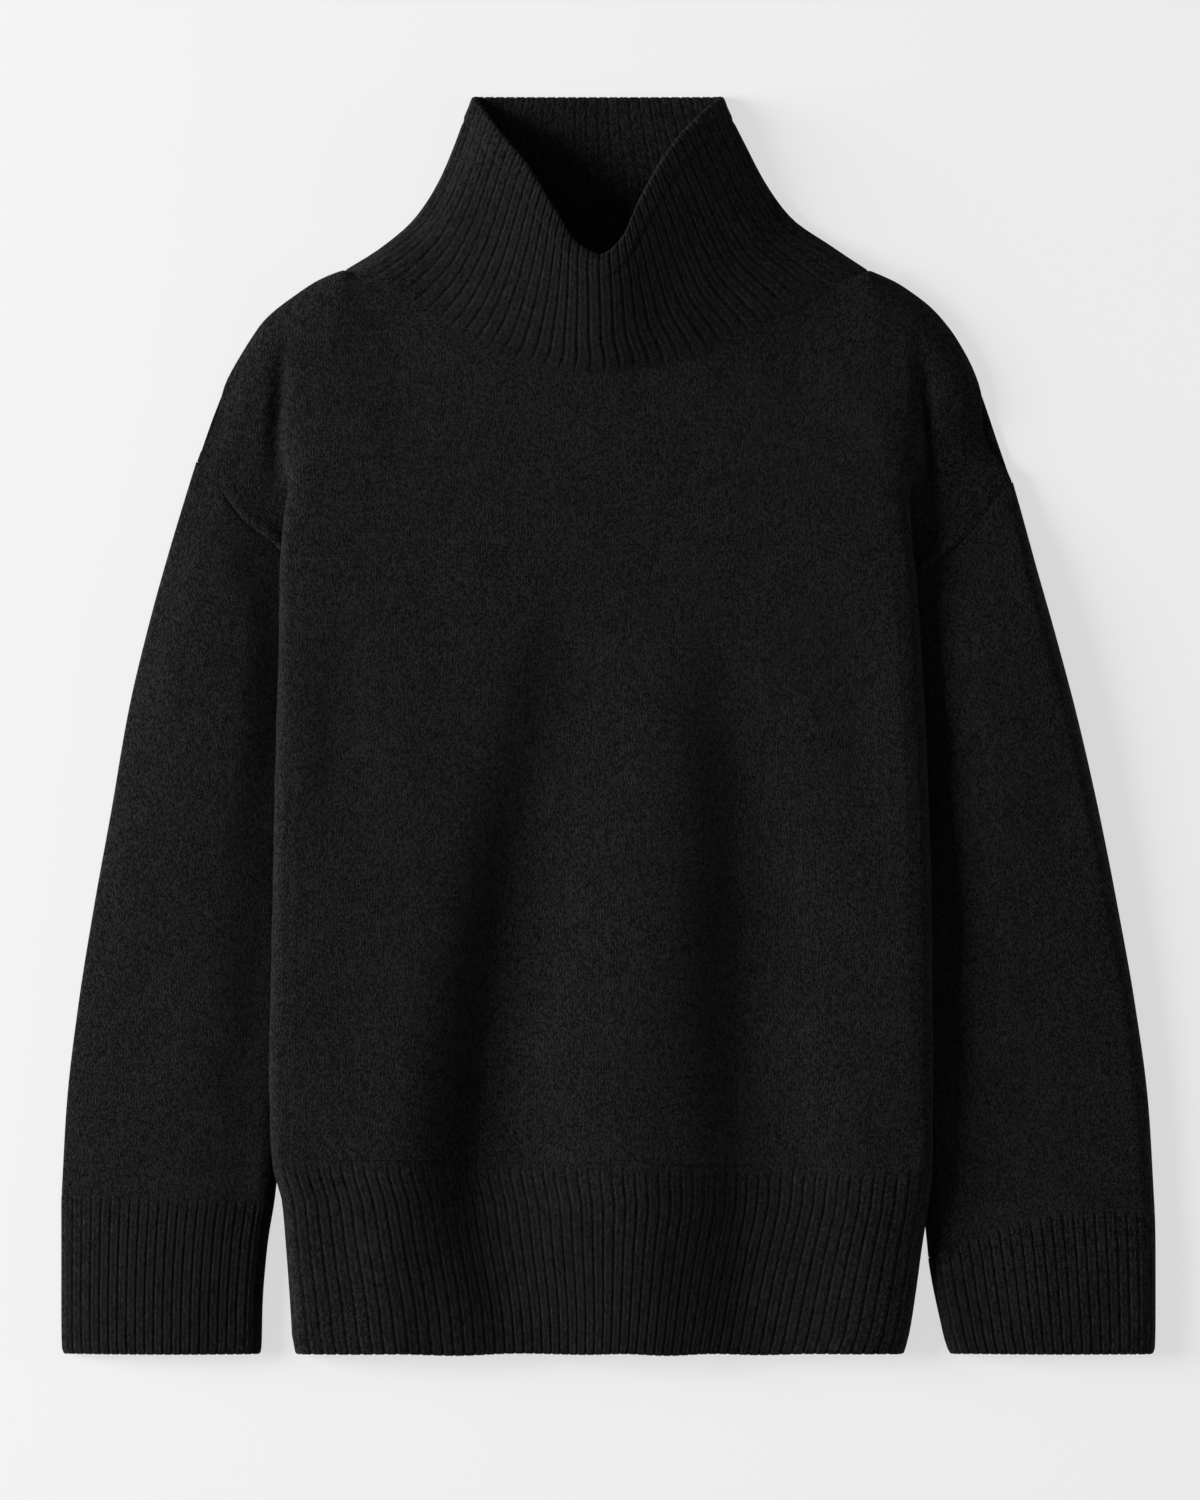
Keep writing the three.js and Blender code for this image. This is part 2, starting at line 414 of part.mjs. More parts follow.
// Closed wall around a grid of mid-wall points. cross.* gives, for an edge
// point, the direction across its seam, kept out of the thickness there.
function wall(grid, thick, { ring = false, cross = {} } = {}) {
  const nv = grid.length;
  const nu = grid[0].length;
  const half = thick / 2;
  const faces = [[], []];
  for (let j = 0; j < nv; j++) {
    for (let i = 0; i < nu; i++) {
      const l = ring ? grid[j][(i + nu - 1) % nu] : grid[j][Math.max(0, i - 1)];
      const r = ring ? grid[j][(i + 1) % nu] : grid[j][Math.min(nu - 1, i + 1)];
      const b = grid[Math.max(0, j - 1)][i];
      const a = grid[Math.min(nv - 1, j + 1)][i];
      const n = new THREE.Vector3().subVectors(r, l).cross(new THREE.Vector3().subVectors(a, b)).normalize();
      const edges = [];
      if (j === 0 && cross.bottom) edges.push(cross.bottom(i, j));
      if (j === nv - 1 && cross.top) edges.push(cross.top(i, j));
      if (!ring && i === 0 && cross.left) edges.push(cross.left(i, j));
      if (!ring && i === nu - 1 && cross.right) edges.push(cross.right(i, j));
      for (const c of edges) if (c) n.addScaledVector(c, -n.dot(c)).normalize();
      const p = grid[j][i];
      faces[0].push(p.clone().addScaledVector(n, half));
      faces[1].push(p.clone().addScaledVector(n, -half));
    }
  }
  const total = nu * nv;
  const pos = [...faces[0], ...faces[1]].flatMap((p) => [p.x, p.y, p.z]);
  const index = [];
  const quad = (a, b, c, d) => index.push(a, b, c, a, c, d);
  const wrap = ring ? nu : nu - 1;
  for (let j = 0; j < nv - 1; j++) {
    for (let i = 0; i < wrap; i++) {
      const i1 = (i + 1) % nu;
      const [a, b, c, d] = [j * nu + i, j * nu + i1, (j + 1) * nu + i1, (j + 1) * nu + i];
      quad(a, b, c, d);
      quad(total + a, total + d, total + c, total + b);
    }
  }
  for (let i = 0; i < wrap; i++) {
    const i1 = (i + 1) % nu;
    quad(i, total + i, total + i1, i1);
    const [a, b] = [(nv - 1) * nu + i, (nv - 1) * nu + i1];
    quad(a, b, total + b, total + a);
  }
  if (!ring) {
    for (let j = 0; j < nv - 1; j++) {
      const [a, b] = [j * nu, (j + 1) * nu];
      quad(a, b, total + b, total + a);
      const [c, d] = [j * nu + nu - 1, (j + 1) * nu + nu - 1];
      quad(c, total + c, total + d, d);
    }
  }
  const geometry = new THREE.BufferGeometry();
  geometry.setAttribute('position', new THREE.Float32BufferAttribute(pos, 3));
  geometry.setIndex(index);
  geometry.computeVertexNormals();
  return geometry;
}

const UP = new THREE.Vector3(0, 0, 1);
const HEM_CROSS = new THREE.Vector3(-HEM_SEAM_TILT, 1, 0).normalize();
const planNormal = (a, b) => new THREE.Vector3(-(b[1] - a[1]), b[0] - a[0], 0).normalize();
const armNormal = (side, s) => {
  const [cx, cy] = side === 0 ? ['xL', 'yL'] : ['xR', 'yR'];
  return planNormal([armhole[cx](s - 0.02), armhole[cy](s - 0.02)], [armhole[cx](s + 0.02), armhole[cy](s + 0.02)]);
};
const neckNormal = (s, back) => {
  const f = back ? neck.back : neck.front;
  const [a, b] = [clamp(s - 0.01, 0, 1), clamp(s + 0.01, 0, 1)];
  return planNormal([neckX(a), f(neckX(a))], [neckX(b), f(neckX(b))]);
};

// ---- sampling of the loops -------------------------------------------------
const EDGE_U = [0, 0.02, 0.04, 0.06, 0.075, 0.09, 0.105, 0.12, 0.13, 0.145, 0.165];
const NECK_STEPS = 16;
const MIDDLE_U = Array.from({ length: NECK_STEPS + 1 }, (_, i) => lerp(U_NECK, 1 - U_NECK, i / NECK_STEPS));
const FRONT_U = [...EDGE_U, ...MIDDLE_U, ...EDGE_U.map((u) => 1 - u).reverse()];
const LOWER_V = [0, 0.07, 0.15, 0.23, 0.31, 0.39, 0.46, 0.53, 0.59];
const UPPER_W = [0, 0.07, 0.16, 0.28, 0.42, 0.56, 0.7, 0.82, 0.92, 1];
const FRONT_V = [...LOWER_V, ...UPPER_W.map((w) => lerp(V_UNDERARM, 1, w))];
const BACK_U = [0, 0.025, 0.05, 0.075, 0.12, 0.16];
const BACK_NECK_STEPS = 8;
const BACK_MIDDLE = Array.from({ length: BACK_NECK_STEPS + 1 }, (_, i) => lerp(U_NECK, 1 - U_NECK, i / BACK_NECK_STEPS));
const BACK_US = [...BACK_U, ...BACK_MIDDLE, ...BACK_U.map((u) => 1 - u).reverse()];
const BACK_V = [0, 0.28, 0.56, ...UPPER_W.map((w) => lerp(V_UNDERARM, 1, w))];
const SLEEVE_T = [0, 0.04, 0.1, 0.18, 0.28, 0.4, 0.52, 0.64, 0.76, 0.88, 0.95, 1];
const HEM_T = [0, 0.1, 0.22, 0.4, 0.65, 0.9, 1];
const COLLAR_V = [0, 0.14, 0.28, 0.42, 0.56, 0.7, 0.82, 0.92, 1];
const COLLAR_S = [0.006, 0.025, 0.06, ...Array.from({ length: 15 }, (_, i) => (i + 1) / 16 * 0.98 + 0.01), 0.94, 0.975, 0.994]
  .sort((a, b) => a - b);

// ---- pieces ----------------------------------------------------------------
function makeFront() {
  const grid = FRONT_V.map((v) => FRONT_U.map((u) => frontPoint(u, v)));
  const upper = (j) => FRONT_V[j] > V_UNDERARM + 1e-6;
  const armS = (j) => 1 - (FRONT_V[j] - V_UNDERARM) / (1 - V_UNDERARM);
  return wall(grid, WALL, {
    cross: {
      bottom: () => HEM_CROSS,
      top: (i) => {
        const u = FRONT_U[i];
        if (u < U_NECK - 1e-6 || u > 1 - U_NECK + 1e-6) return UP;
        return neckNormal((u - U_NECK) / (1 - 2 * U_NECK), false);
      },
      left: (i, j) => (upper(j) ? (j === FRONT_V.length - 1 ? UP : armNormal(0, armS(j))) : UP),
      right: (i, j) => (upper(j) ? (j === FRONT_V.length - 1 ? UP : armNormal(1, armS(j))) : UP),
    },
  });
}
function makeBack() {
  return wall(BACK_V.map((v) => BACK_US.map((u) => backPoint(u, v))), WALL, {});
}
function makeHem() {
  const half = RIB / 2;
  const us = FRONT_U;
  const backU = Array.from({ length: 11 }, (_, i) => 1 - (i + 1) / 12);
  const rows = HEM_T.map((t) => {
    const row = us.map((u) => {
      const yv = lerp(HEM_SEAM_Y, HEM_END, t);
      const p0 = bodyPoint(u, yv, half, half);
      const y = lerp(hemSeam(p0[0]), HEM_END, t);
      const p = bodyPoint(u, y, half, half);
      const corner = smooth((t - 0.9) / 0.1) * 1.4 * (u < 0.5 ? 1 : -1) * smooth((U_CROWN + 0.02 - Math.min(u, 1 - u)) / 0.05);
      return new THREE.Vector3(p[0] + corner, y, p[1]);
    });
    const [first, last] = [row[0], row[row.length - 1]];
    for (const b of backU) {
      const x = lerp(first.x, last.x, b);
      row.push(new THREE.Vector3(x, lerp(hemSeam(x), HEM_END, t), half));
    }
    return row;
  });
  return wall(rows.reverse(), RIB, { ring: true, cross: { bottom: () => new THREE.Vector3(0, 1, 0), top: () => HEM_CROSS } });
}
function makeSleeve(side) {
  const half = WALL / 2;
  const table = side === 0 ? SLEEVE_R : SLEEVE_L;
  const [cx, cy] = side === 0 ? ['xL', 'yL'] : ['xR', 'yR'];
  const inner = UPPER_W.map((w) => 1 - w).reverse();
  const sTop = [0, 0.012, 0.04, ...inner.slice(1, -1), 0.965, 0.99, 1];
  const sBottom = [0.975, 0.94, ...inner.slice(1, -1).reverse(), 0.02];
  const first = {
    until: 0.1,
    line: (s) => {
      const n = armNormal(side, clamp(s, 0.02, 0.98));
      const out = side === 0 ? -1 : 1;
      const dir = n.y > 0 ? -1 : 1;
      const k = lerp(0.02, 0.985, s);
      return [armhole[cx](k) + n.x * dir * GAP * Math.abs(out), armhole[cy](k) + n.y * dir * GAP];
    },
  };
  const ring = limbRing(table, first, half, sTop, sBottom);
  const allS = [...sTop, ...sBottom];
  const rows = SLEEVE_T.map((t) => ring(t));
  const last = table[table.length - 1];
  const endCross = new THREE.Vector3(-(last.iy - last.oy), last.ix - last.ox, 0).normalize();
  const grid = side === 0 ? rows : rows.map((r) => [...r].reverse());
  const sAt = (i) => (side === 0 ? allS[i] : [...allS].reverse()[i]);
  return wall(grid.reverse(), WALL, {
    ring: true,
    cross: {
      top: (i) => armNormal(side, clamp(sAt(i), 0.02, 0.98)),
      bottom: (i) => endNormal(table, sAt(i), endCross),
    },
  });
}
// Direction across the seam line at the end of a sleeve or start of a cuff.
function endNormal(table, s, straight) {
  const r = table[0].t === 0 ? table[0] : table[table.length - 1];
  const slope = 4 * r.arch * (1 - 2 * clamp(s, 0, 1));
  const w = Math.hypot(r.ix - r.ox, r.iy - r.oy);
  const d = new THREE.Vector3((r.ix - r.ox) / w, (r.iy - r.oy) / w, 0);
  const n = r.ix > r.ox ? new THREE.Vector3(-d.y, d.x, 0) : new THREE.Vector3(d.y, -d.x, 0);
  const tangent = d.clone().multiplyScalar(w).addScaledVector(n, slope).normalize();
  return r.arch === 0 ? straight : new THREE.Vector3(-tangent.y, tangent.x, 0);
}
function makeCuff(side) {
  const half = RIB / 2;
  const table = side === 0 ? CUFF_R : CUFF_L;
  const inner = UPPER_W.map((w) => 1 - w).reverse();
  const sTop = [0, 0.015, 0.045, ...inner.slice(1, -1), 0.955, 0.985, 1];
  const sBottom = [0.97, 0.93, ...inner.slice(1, -1).reverse().filter((_, i) => i % 2 === 0), 0.03];
  const ring = limbRing(table, null, half, sTop, sBottom);
  const allS = [...sTop, ...sBottom];
  const rows = [0, 0.15, 0.35, 0.6, 0.85, 1].map((t) => ring(t).map((p) => {
    if (t === 0) p.y -= GAP * 1.2;
    return p;
  }));
  const first = table[0];
  const straight = new THREE.Vector3(-(first.iy - first.oy), first.ix - first.ox, 0).normalize();
  const grid = side === 0 ? rows : rows.map((r) => [...r].reverse());
  const sAt = (i) => (side === 0 ? allS[i] : [...allS].reverse()[i]);
  return wall(grid.reverse(), RIB, {
    ring: true,
    cross: { top: (i) => endNormal(table, sAt(i), straight), bottom: () => new THREE.Vector3(0, 1, 0) },
  });
}
// Collar point: front half (s left to right) or back half at height v.
function collarPoint(s, v, back) {
  const half = RIB / 2;
  const xN = neckX(s);
  const n = neckNormal(s, back);
  const low = [xN + n.x * GAP, (back ? neck.back(xN) : neck.front(xN)) + n.y * GAP];
  const high = back ? [lerp(LIP[0].x, LIP[LIP.length - 1].x, s), LIP[0].y] : [lip.x(s), lip.y(s)];
  const l = [collar.xL(v), collar.yL(v)];
  const r = [collar.xR(v), collar.yR(v)];
  const p = [0, 1].map((i) => {
    const edgeL = l[i] - lerp([NECK_X0, NECK[0].front][i], [LIP[0].x, LIP[0].y][i], v);
    const edgeR = r[i] - lerp([NECK_X1, NECK[0].front][i], [LIP[LIP.length - 1].x, LIP[0].y][i], v);
    return lerp(low[i], high[i], v) + (1 - s) ** 1.6 * edgeL + s ** 1.6 * edgeR;
  });
  const width = r[0] - l[0];
  const inset = half * Math.cos(Math.PI * s);
  const rise = quarter((Math.min(s, 1 - s) * width) / (back ? 5 : 14));
  const edge = half + 2.4;
  const bulge = collar.bulge(v) * Math.sin(Math.PI * s);
  const level = back ? half : Math.max(lerp(neck.z(xN), lip.z(s), smooth(v) * 0.35 + v * 0.65) + bulge, edge);
  return new THREE.Vector3(p[0] + inset, p[1], lerp(edge, level, rise));
}
function makeCollar() {
  const backS = Array.from({ length: 9 }, (_, i) => 1 - (i + 0.6) / 9.2);
  const rows = COLLAR_V.map((v) => [
    ...COLLAR_S.map((s) => collarPoint(s, v, false)),
    ...backS.map((s) => collarPoint(clamp(s, 0.012, 0.988), v, true)),
  ]);
  const all = [...COLLAR_S.map((s) => [s, false]), ...backS.map((s) => [s, true])];
  return wall(rows, RIB, {
    ring: true,
    cross: { bottom: (i) => neckNormal(all[i][0], all[i][1]) },
  });
}

// ---- assembly --------------------------------------------------------------
const group = new THREE.Group();
group.name = 'turtleneck_sweater';
function add(name, geometry, colour, roughness) {
  const material = new THREE.MeshStandardMaterial({ color: colour, roughness, metalness: 0 });
  material.name = name;
  const mesh = new THREE.Mesh(geometry, material);
  mesh.name = name;
  group.add(mesh);
}
add('front_panel', makeFront(), 0x18191b, 0.95);
add('back_panel', makeBack(), 0x17181a, 0.95);
add('sleeve_right', makeSleeve(0), 0x1a1b1d, 0.95);
add('sleeve_left', makeSleeve(1), 0x151618, 0.95);
add('cuff_right', makeCuff(0), 0x1a1b1d, 0.93);
add('cuff_left', makeCuff(1), 0x151618, 0.93);
add('hem_rib', makeHem(), 0x18191b, 0.93);
add('collar', makeCollar(), 0x17181a, 0.93);

export default group;
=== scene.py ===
import math

import bmesh
import bpy
import numpy as np
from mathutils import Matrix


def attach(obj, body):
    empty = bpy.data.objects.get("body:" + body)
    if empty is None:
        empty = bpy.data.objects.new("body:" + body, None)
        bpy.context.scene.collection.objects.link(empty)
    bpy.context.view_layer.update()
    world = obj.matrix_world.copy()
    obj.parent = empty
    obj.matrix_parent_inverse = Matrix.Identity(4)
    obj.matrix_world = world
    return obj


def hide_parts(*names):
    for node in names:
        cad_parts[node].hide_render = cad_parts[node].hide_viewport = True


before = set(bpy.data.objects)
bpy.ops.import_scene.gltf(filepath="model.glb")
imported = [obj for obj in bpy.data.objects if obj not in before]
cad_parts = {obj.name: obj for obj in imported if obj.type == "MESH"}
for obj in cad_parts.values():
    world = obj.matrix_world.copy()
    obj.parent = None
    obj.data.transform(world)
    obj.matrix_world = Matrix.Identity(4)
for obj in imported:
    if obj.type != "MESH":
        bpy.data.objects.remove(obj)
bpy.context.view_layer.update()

# A near-black wool turtleneck sweater laid flat on its back, seen from
# straight above. Sizes are in millimetres until a mesh is written, in the
# same frame as the solids: +X to the wearer's left, +Y to the collar, +Z up.

# ---------------------------------------------------------------- sizes (mm)
WALL = 2.4
RIB = 3.2
GAP = 0.3
HEM_END = -376.2
HEM_SEAM_Y = -261.5
HEM_SEAM_TILT = -0.0155
SEAM_REST = WALL + GAP + 0.1
CLOSE = 0.06       # what is left open along a seam of the cloth
ROLL = 10.0
U_FOLD, U_CROWN, U_NECK = 0.12, 0.19, 0.197
V_UNDERARM = 0.62
FOLD_FULL_Y, FOLD_GONE_Y = 90.0, 208.0
SHOULDER_DROP = 0.84
EDGE_ROUND = 11.0
TUCK_HEIGHT = (10.4, 8.6)  # height of a sleeve where the body's fold lies over it
OUTER_ROUND = (26.0, 9.0)  # the right sleeve is laid softer at its outer edge
TUCK_FROM = (0.62, 0.47)   # where, across a sleeve, it starts to sink towards the body
OUTER_LOW = (0.52, 0.84)   # height over the outer edge, share of the full height

WALE = 1.8        # width of one stitch column of the plain knit
COURSE = 1.38     # height of one stitch row
HEM_RIBS = 118    # ribs all round the hem tube
CUFF_RIBS = 44
COLLAR_FRONT_RIBS, COLLAR_BACK_RIBS = 38, 24
COLLAR_DEEP = 1.1  # the collar's grooves are this much deeper
RIB_STEPS = 12    # mesh columns to a rib
RIB_DEPTH = 0.60  # groove below the crest of a rib
LEAN = 0.11       # how far the hem ribs lean in towards the middle, at most


def cols(names, rows):
    """A table: one row for a section or fold, one name for a column."""
    return {n: np.array([r[i] for r in rows], float) for i, n in enumerate(names.split())}


BODY = cols("y foldL foldR seamL seamR fold crown mid", [
    (-376.2, -190.5, 181.0, -187.0, 177.5, 6.0, 13.5, 15.5),
    (-356.4, -191.1, 183.9, -187.4, 180.2, 6.5, 15.0, 17.0),
    (-308.4, -193.5, 188.7, -189.0, 184.5, 8.0, 18.5, 21.0),
    (-284.4, -195.3, 191.8, -189.6, 185.0, 10.5, 20.5, 22.8),
    (-262.0, -201.0, 193.9, -190.4, 182.0, 14.0, 22.5, 24.0),
    (-212.4, -203.1, 194.1, -188.5, 179.0, 15.0, 24.0, 25.6),
    (-122.4, -201.3, 193.5, -185.5, 177.0, 15.0, 25.0, 26.4),
    (-32.4, -199.5, 191.1, -183.0, 174.5, 15.0, 25.0, 26.6),
    (57.6, -197.1, 186.3, -181.5, 171.0, 15.0, 24.0, 26.0),
    (117.6, -196.5, 182.1, -182.0, 169.0, 15.0, 22.5, 25.5),
    (177.6, -192.3, 179.1, -184.0, 170.0, 14.0, 19.5, 24.5),
    (212.0, -190.0, 179.7, -186.0, 174.0, 13.0, 17.0, 23.5),
])
SHOULDER = cols("u xL yL xR yR", [
    (0.0, -246.3, 158.4, 241.5, 146.4),
    (0.025, -237.9, 183.6, 233.1, 171.6),
    (0.05, -228.3, 207.6, 225.3, 195.6),
    (0.075, -214.5, 231.6, 215.7, 219.6),
    (0.095, -206.1, 243.6, 205.0, 237.6),
    (0.12, -191.7, 255.6, 192.0, 252.0),
    (0.16, -172.5, 267.6, 171.0, 266.8),
    (0.197, -158.1, 272.4, 155.7, 272.4),
])
ARMHOLE = cols("s xL yL xR yR z", [
    (0.0, -246.3, 158.4, 241.5, 146.4, 2.8),
    (0.15, -236.2, 146.2, 231.3, 135.0, 8.2),
    (0.4, -221.5, 125.2, 214.5, 113.8, 10.4),
    (0.7, -201.8, 110.2, 193.0, 96.4, 10.0),
    (1.0, -183.3, 91.2, 171.3, 84.6, 8.2),
])
NECK = cols("x front back z", [
    (-158.1, 272.4, 272.4, 2.8),
    (-139.5, 261.0, 268.2, 12.5),
    (-105.3, 234.6, 262.0, 17.5),
    (-53.7, 215.4, 257.4, 21.5),
    (-5.1, 210.0, 256.0, 22.5),
    (37.5, 216.0, 256.8, 21.5),
    (83.7, 231.0, 260.0, 18.5),
    (123.3, 255.6, 265.0, 14.0),
    (155.7, 272.4, 272.4, 2.8),
])
COLLAR = cols("v xL yL xR yR bulge", [
    (0.0, -158.1, 272.4, 155.7, 272.4, 0.0),
    (0.14, -136.5, 286.4, 135.0, 286.4, 2.2),
    (0.3, -117.5, 303.0, 111.2, 303.0, 4.2),
    (0.48, -102.8, 325.2, 94.6, 325.2, 5.2),
    (0.68, -93.0, 347.6, 82.8, 347.6, 4.6),
    (0.86, -86.5, 365.0, 74.0, 365.0, 2.6),
    (1.0, -81.6, 376.2, 68.9, 376.2, 0.0),
])
LIP = cols("s x y z", [
    (0.0, -81.6, 376.2, 5.5),
    (0.1, -69.3, 358.2, 16.0),
    (0.22, -49.5, 333.6, 25.0),
    (0.34, -32.7, 306.6, 31.0),
    (0.42, -18.9, 286.2, 34.0),
    (0.5, -4.5, 279.6, 35.0),
    (0.57, 7.5, 288.5, 34.0),
    (0.66, 19.0, 312.0, 31.0),
    (0.79, 37.5, 343.8, 24.5),
    (0.91, 57.5, 366.0, 15.5),
    (1.0, 68.9, 376.2, 5.5),
])
LIMB = "t ox oy ix iy arch h"
SLEEVE_R = cols(LIMB, [
    (0.06, -252.5, 140.5, -185.4, 80.0, -3.4, 12.6),
    (0.16, -263.0, 106.0, -186.2, 56.0, -2.2, 15.4),
    (0.28, -275.0, 63.0, -187.0, 24.0, -0.8, 17.2),
    (0.42, -287.6, 10.0, -188.4, -20.0, 0, 17.2),
    (0.56, -298.0, -50.0, -189.8, -72.0, 0, 16.4),
    (0.7, -308.8, -110.0, -191.2, -125.0, 0, 15.2),
    (0.82, -318.0, -168.0, -192.6, -178.0, 0, 14.0),
    (0.92, -324.8, -226.0, -194.6, -232.0, 0, 12.9),
    (1.0, -327.9, -280.0, -200.2, -285.0, 0, 12.2),
])
SLEEVE_L = cols(LIMB, [
    (0.06, 247.2, 129.0, 173.2, 73.0, -3.6, 12.6),
    (0.16, 256.6, 95.0, 174.0, 50.0, -2.4, 15.4),
    (0.28, 267.4, 57.0, 175.6, 20.0, -0.8, 17.0),
    (0.42, 281.2, 5.0, 178.4, -24.0, 0, 17.0),
    (0.56, 294.6, -54.0, 180.8, -77.0, 0, 16.0),
    (0.7, 306.0, -112.0, 181.8, -131.0, 1, 14.8),
    (0.82, 316.2, -170.0, 182.4, -187.0, 3, 13.6),
    (0.92, 323.8, -228.0, 185.4, -250.0, 7, 12.8),
    (1.0, 327.6, -291.0, 191.8, -319.0, 12, 12.2),
])
CUFF_R = cols(LIMB, [
    (0.0, -327.9, -280.0, -200.2, -285.0, 0, 12.6),
    (0.3, -327.9, -309.0, -204.4, -311.0, 0, 12.8),
    (0.7, -327.9, -347.0, -207.4, -348.0, 0, 12.6),
    (0.95, -327.6, -371.6, -208.0, -371.6, 0, 12.2),
    (1.0, -326.2, -376.2, -208.8, -376.2, 0, 12.0),
])
CUFF_L = cols(LIMB, [
    (0.0, 327.6, -291.0, 191.8, -319.0, 12, 12.6),
    (0.3, 327.9, -315.0, 193.9, -332.0, 6, 12.8),
    (0.7, 327.9, -350.0, 199.0, -356.0, 1.5, 12.6),
    (0.95, 327.6, -371.6, 203.0, -371.6, 0, 12.2),
    (1.0, 326.2, -376.2, 205.4, -376.2, 0, 12.0),
])
# Soft troughs (negative rise) and ridges of the front.
FOLDS = [dict(zip("yTop yPeak yEnd xTop xPeak xEnd leftW rightW rise".split(), r)) for r in [
    (140, -130, -330, -8, -62, -86, 23, 46, -11.8),
    (-110, -262, -460, -58, -77, -30, 23, 46, -10.0),
    (10, -300, -800, -104, -131, -124, 26, 22, 3.0),
    (70, -330, -800, 10, 20, 24, 34, 26, 3.4),
    (130, -120, -540, 74, 80, 86, 24, 48, -11.7),
    (-180, -320, -700, 152, 154, 150, 24, 24, 1.6),
    (120, 10, -120, -150, -158, -166, 20, 20, -2.0),
    (110, 0, -130, 138, 150, 158, 20, 20, -2.2),
]]
# upper ends of the side folds, running out over the shoulders
FOLD_TIPS = [dict(zip("yTop yPeak yEnd xTop xPeak xEnd leftW rightW rise".split(), r)) for r in [
    (252, 186, 126, -192, -197, -200, 6.5, 5, -4.4),
    (248, 182, 118, 184, 189, 193, 5, 7, -4.8),
]]


# ---------------------------------------------------------------- curves
def lerp(a, b, t):
    return a + (b - a) * t


def smooth(t):
    t = np.clip(t, 0, 1)
    return t * t * (3 - 2 * t)


def quarter(t):
    return np.sqrt(np.maximum(0, 1 - (1 - np.clip(t, 0, 1)) ** 2))


def slopes(xs, ys):
    """Monotone cubic slopes; ys may carry trailing axes."""
    h = np.diff(xs).reshape((-1,) + (1,) * (ys.ndim - 1))
    d = np.diff(ys, axis=0) / h
    m = np.zeros_like(ys)
    m[0], m[-1] = d[0], d[-1]
    if len(xs) > 2:
        a, b, ha, hb = d[:-1], d[1:], h[:-1], h[1:]
        with np.errstate(divide="ignore", invalid="ignore"):
            mid = 3 * (ha + hb) / ((2 * hb + ha) / a + (hb + 2 * ha) / b)
        m[1:-1] = np.where(a * b <= 0, 0, mid)
    return m


def hermite(xs, i, x, y0, y1, m0, m1):
    h = xs[i + 1] - xs[i]
    t = (x - xs[i]) / h
    return ((2 * t**3 - 3 * t**2 + 1) * y0 + (t**3 - 2 * t**2 + t) * h * m0
            + (3 * t**2 - 2 * t**3) * y1 + (t**3 - t**2) * h * m1)


def curve(table, key, col):
    xs, ys = table[key], table[col]
    m = slopes(xs, ys)

    def at(x):
        x = np.clip(np.asarray(x, float), xs[0], xs[-1])
        i = np.clip(np.searchsorted(xs, x, side="right") - 1, 0, len(xs) - 2)
        return hermite(xs, i, x, ys[i], ys[i + 1], m[i], m[i + 1])

    return at


def curves(table, key):
    return {n: curve(table, key, n) for n in table if n != key}


def through(knots, values, x):
    """Monotone cubic whose knot values change from point to point."""
    values = np.stack([np.broadcast_to(v, x.shape) for v in values])
    m = slopes(knots, values)
    i = np.clip(np.searchsorted(knots, x, side="right") - 1, 0, len(knots) - 2)
    pick = lambda a, k: np.take_along_axis(a, k[None], 0)[0]
    return hermite(knots, i, x, pick(values, i), pick(values, i + 1), pick(m, i), pick(m, i + 1))


body, shoulder, armhole = curves(BODY, "y"), curves(SHOULDER, "u"), curves(ARMHOLE, "s")
neck, collar, lip = curves(NECK, "x"), curves(COLLAR, "v"), curves(LIP, "s")
for f in FOLDS + FOLD_TIPS:
    f["x"] = curve(cols("y x", [(f["yEnd"], f["xEnd"]), (f["yPeak"], f["xPeak"]), (f["yTop"], f["xTop"])]), "y", "x")

NECK_X0, NECK_X1 = NECK["x"][0], NECK["x"][-1]


def hem_seam(x):
    return HEM_SEAM_Y + HEM_SEAM_TILT * x


def relief(x, y, folds=FOLDS):
    z = np.zeros(np.broadcast(x, y).shape)
    for f in folds:
        along = np.where(y > f["yPeak"], (f["yTop"] - y) / (f["yTop"] - f["yPeak"]),
                         (y - f["yEnd"]) / (f["yPeak"] - f["yEnd"]))
        off = x - f["x"](y)
        z = z + f["rise"] * smooth(along) * np.exp(-((off / np.where(off < 0, f["leftW"], f["rightW"])) ** 2))
    return z


def top_edge(u, back):
    left = u < 0.5
    k = np.where(left, u, 1 - u)
    on = k <= U_NECK
    x = lambda q: np.where(left, shoulder["xL"](q), shoulder["xR"](q))
    y = lambda q: np.where(left, shoulder["yL"](q), shoulder["yR"](q))
    ax, ay, bx, by = x(k - 0.004), y(k - 0.004), x(k + 0.004), y(k + 0.004)
    ln = np.hypot(bx - ax, by - ay) + 1e-9
    side = np.where(left, 1.0, -1.0)
    fade = (1 - smooth((k - 0.15) / (U_NECK - 0.15)) * 0.6) * WALL / 2
    sx = x(k) + side * (by - ay) / ln * fade
    sy = y(k) - side * (bx - ax) / ln * fade
    s = np.clip((u - U_NECK) / (1 - 2 * U_NECK), 0, 1)
    nx = lerp(NECK_X0, NECK_X1, s)
    ny = neck["back" if back else "front"](nx)
    return np.where(on, sx, nx), np.where(on, sy, ny)


def underarm_y(u):
    return lerp(ARMHOLE["yL"][-1], ARMHOLE["yR"][-1], u)


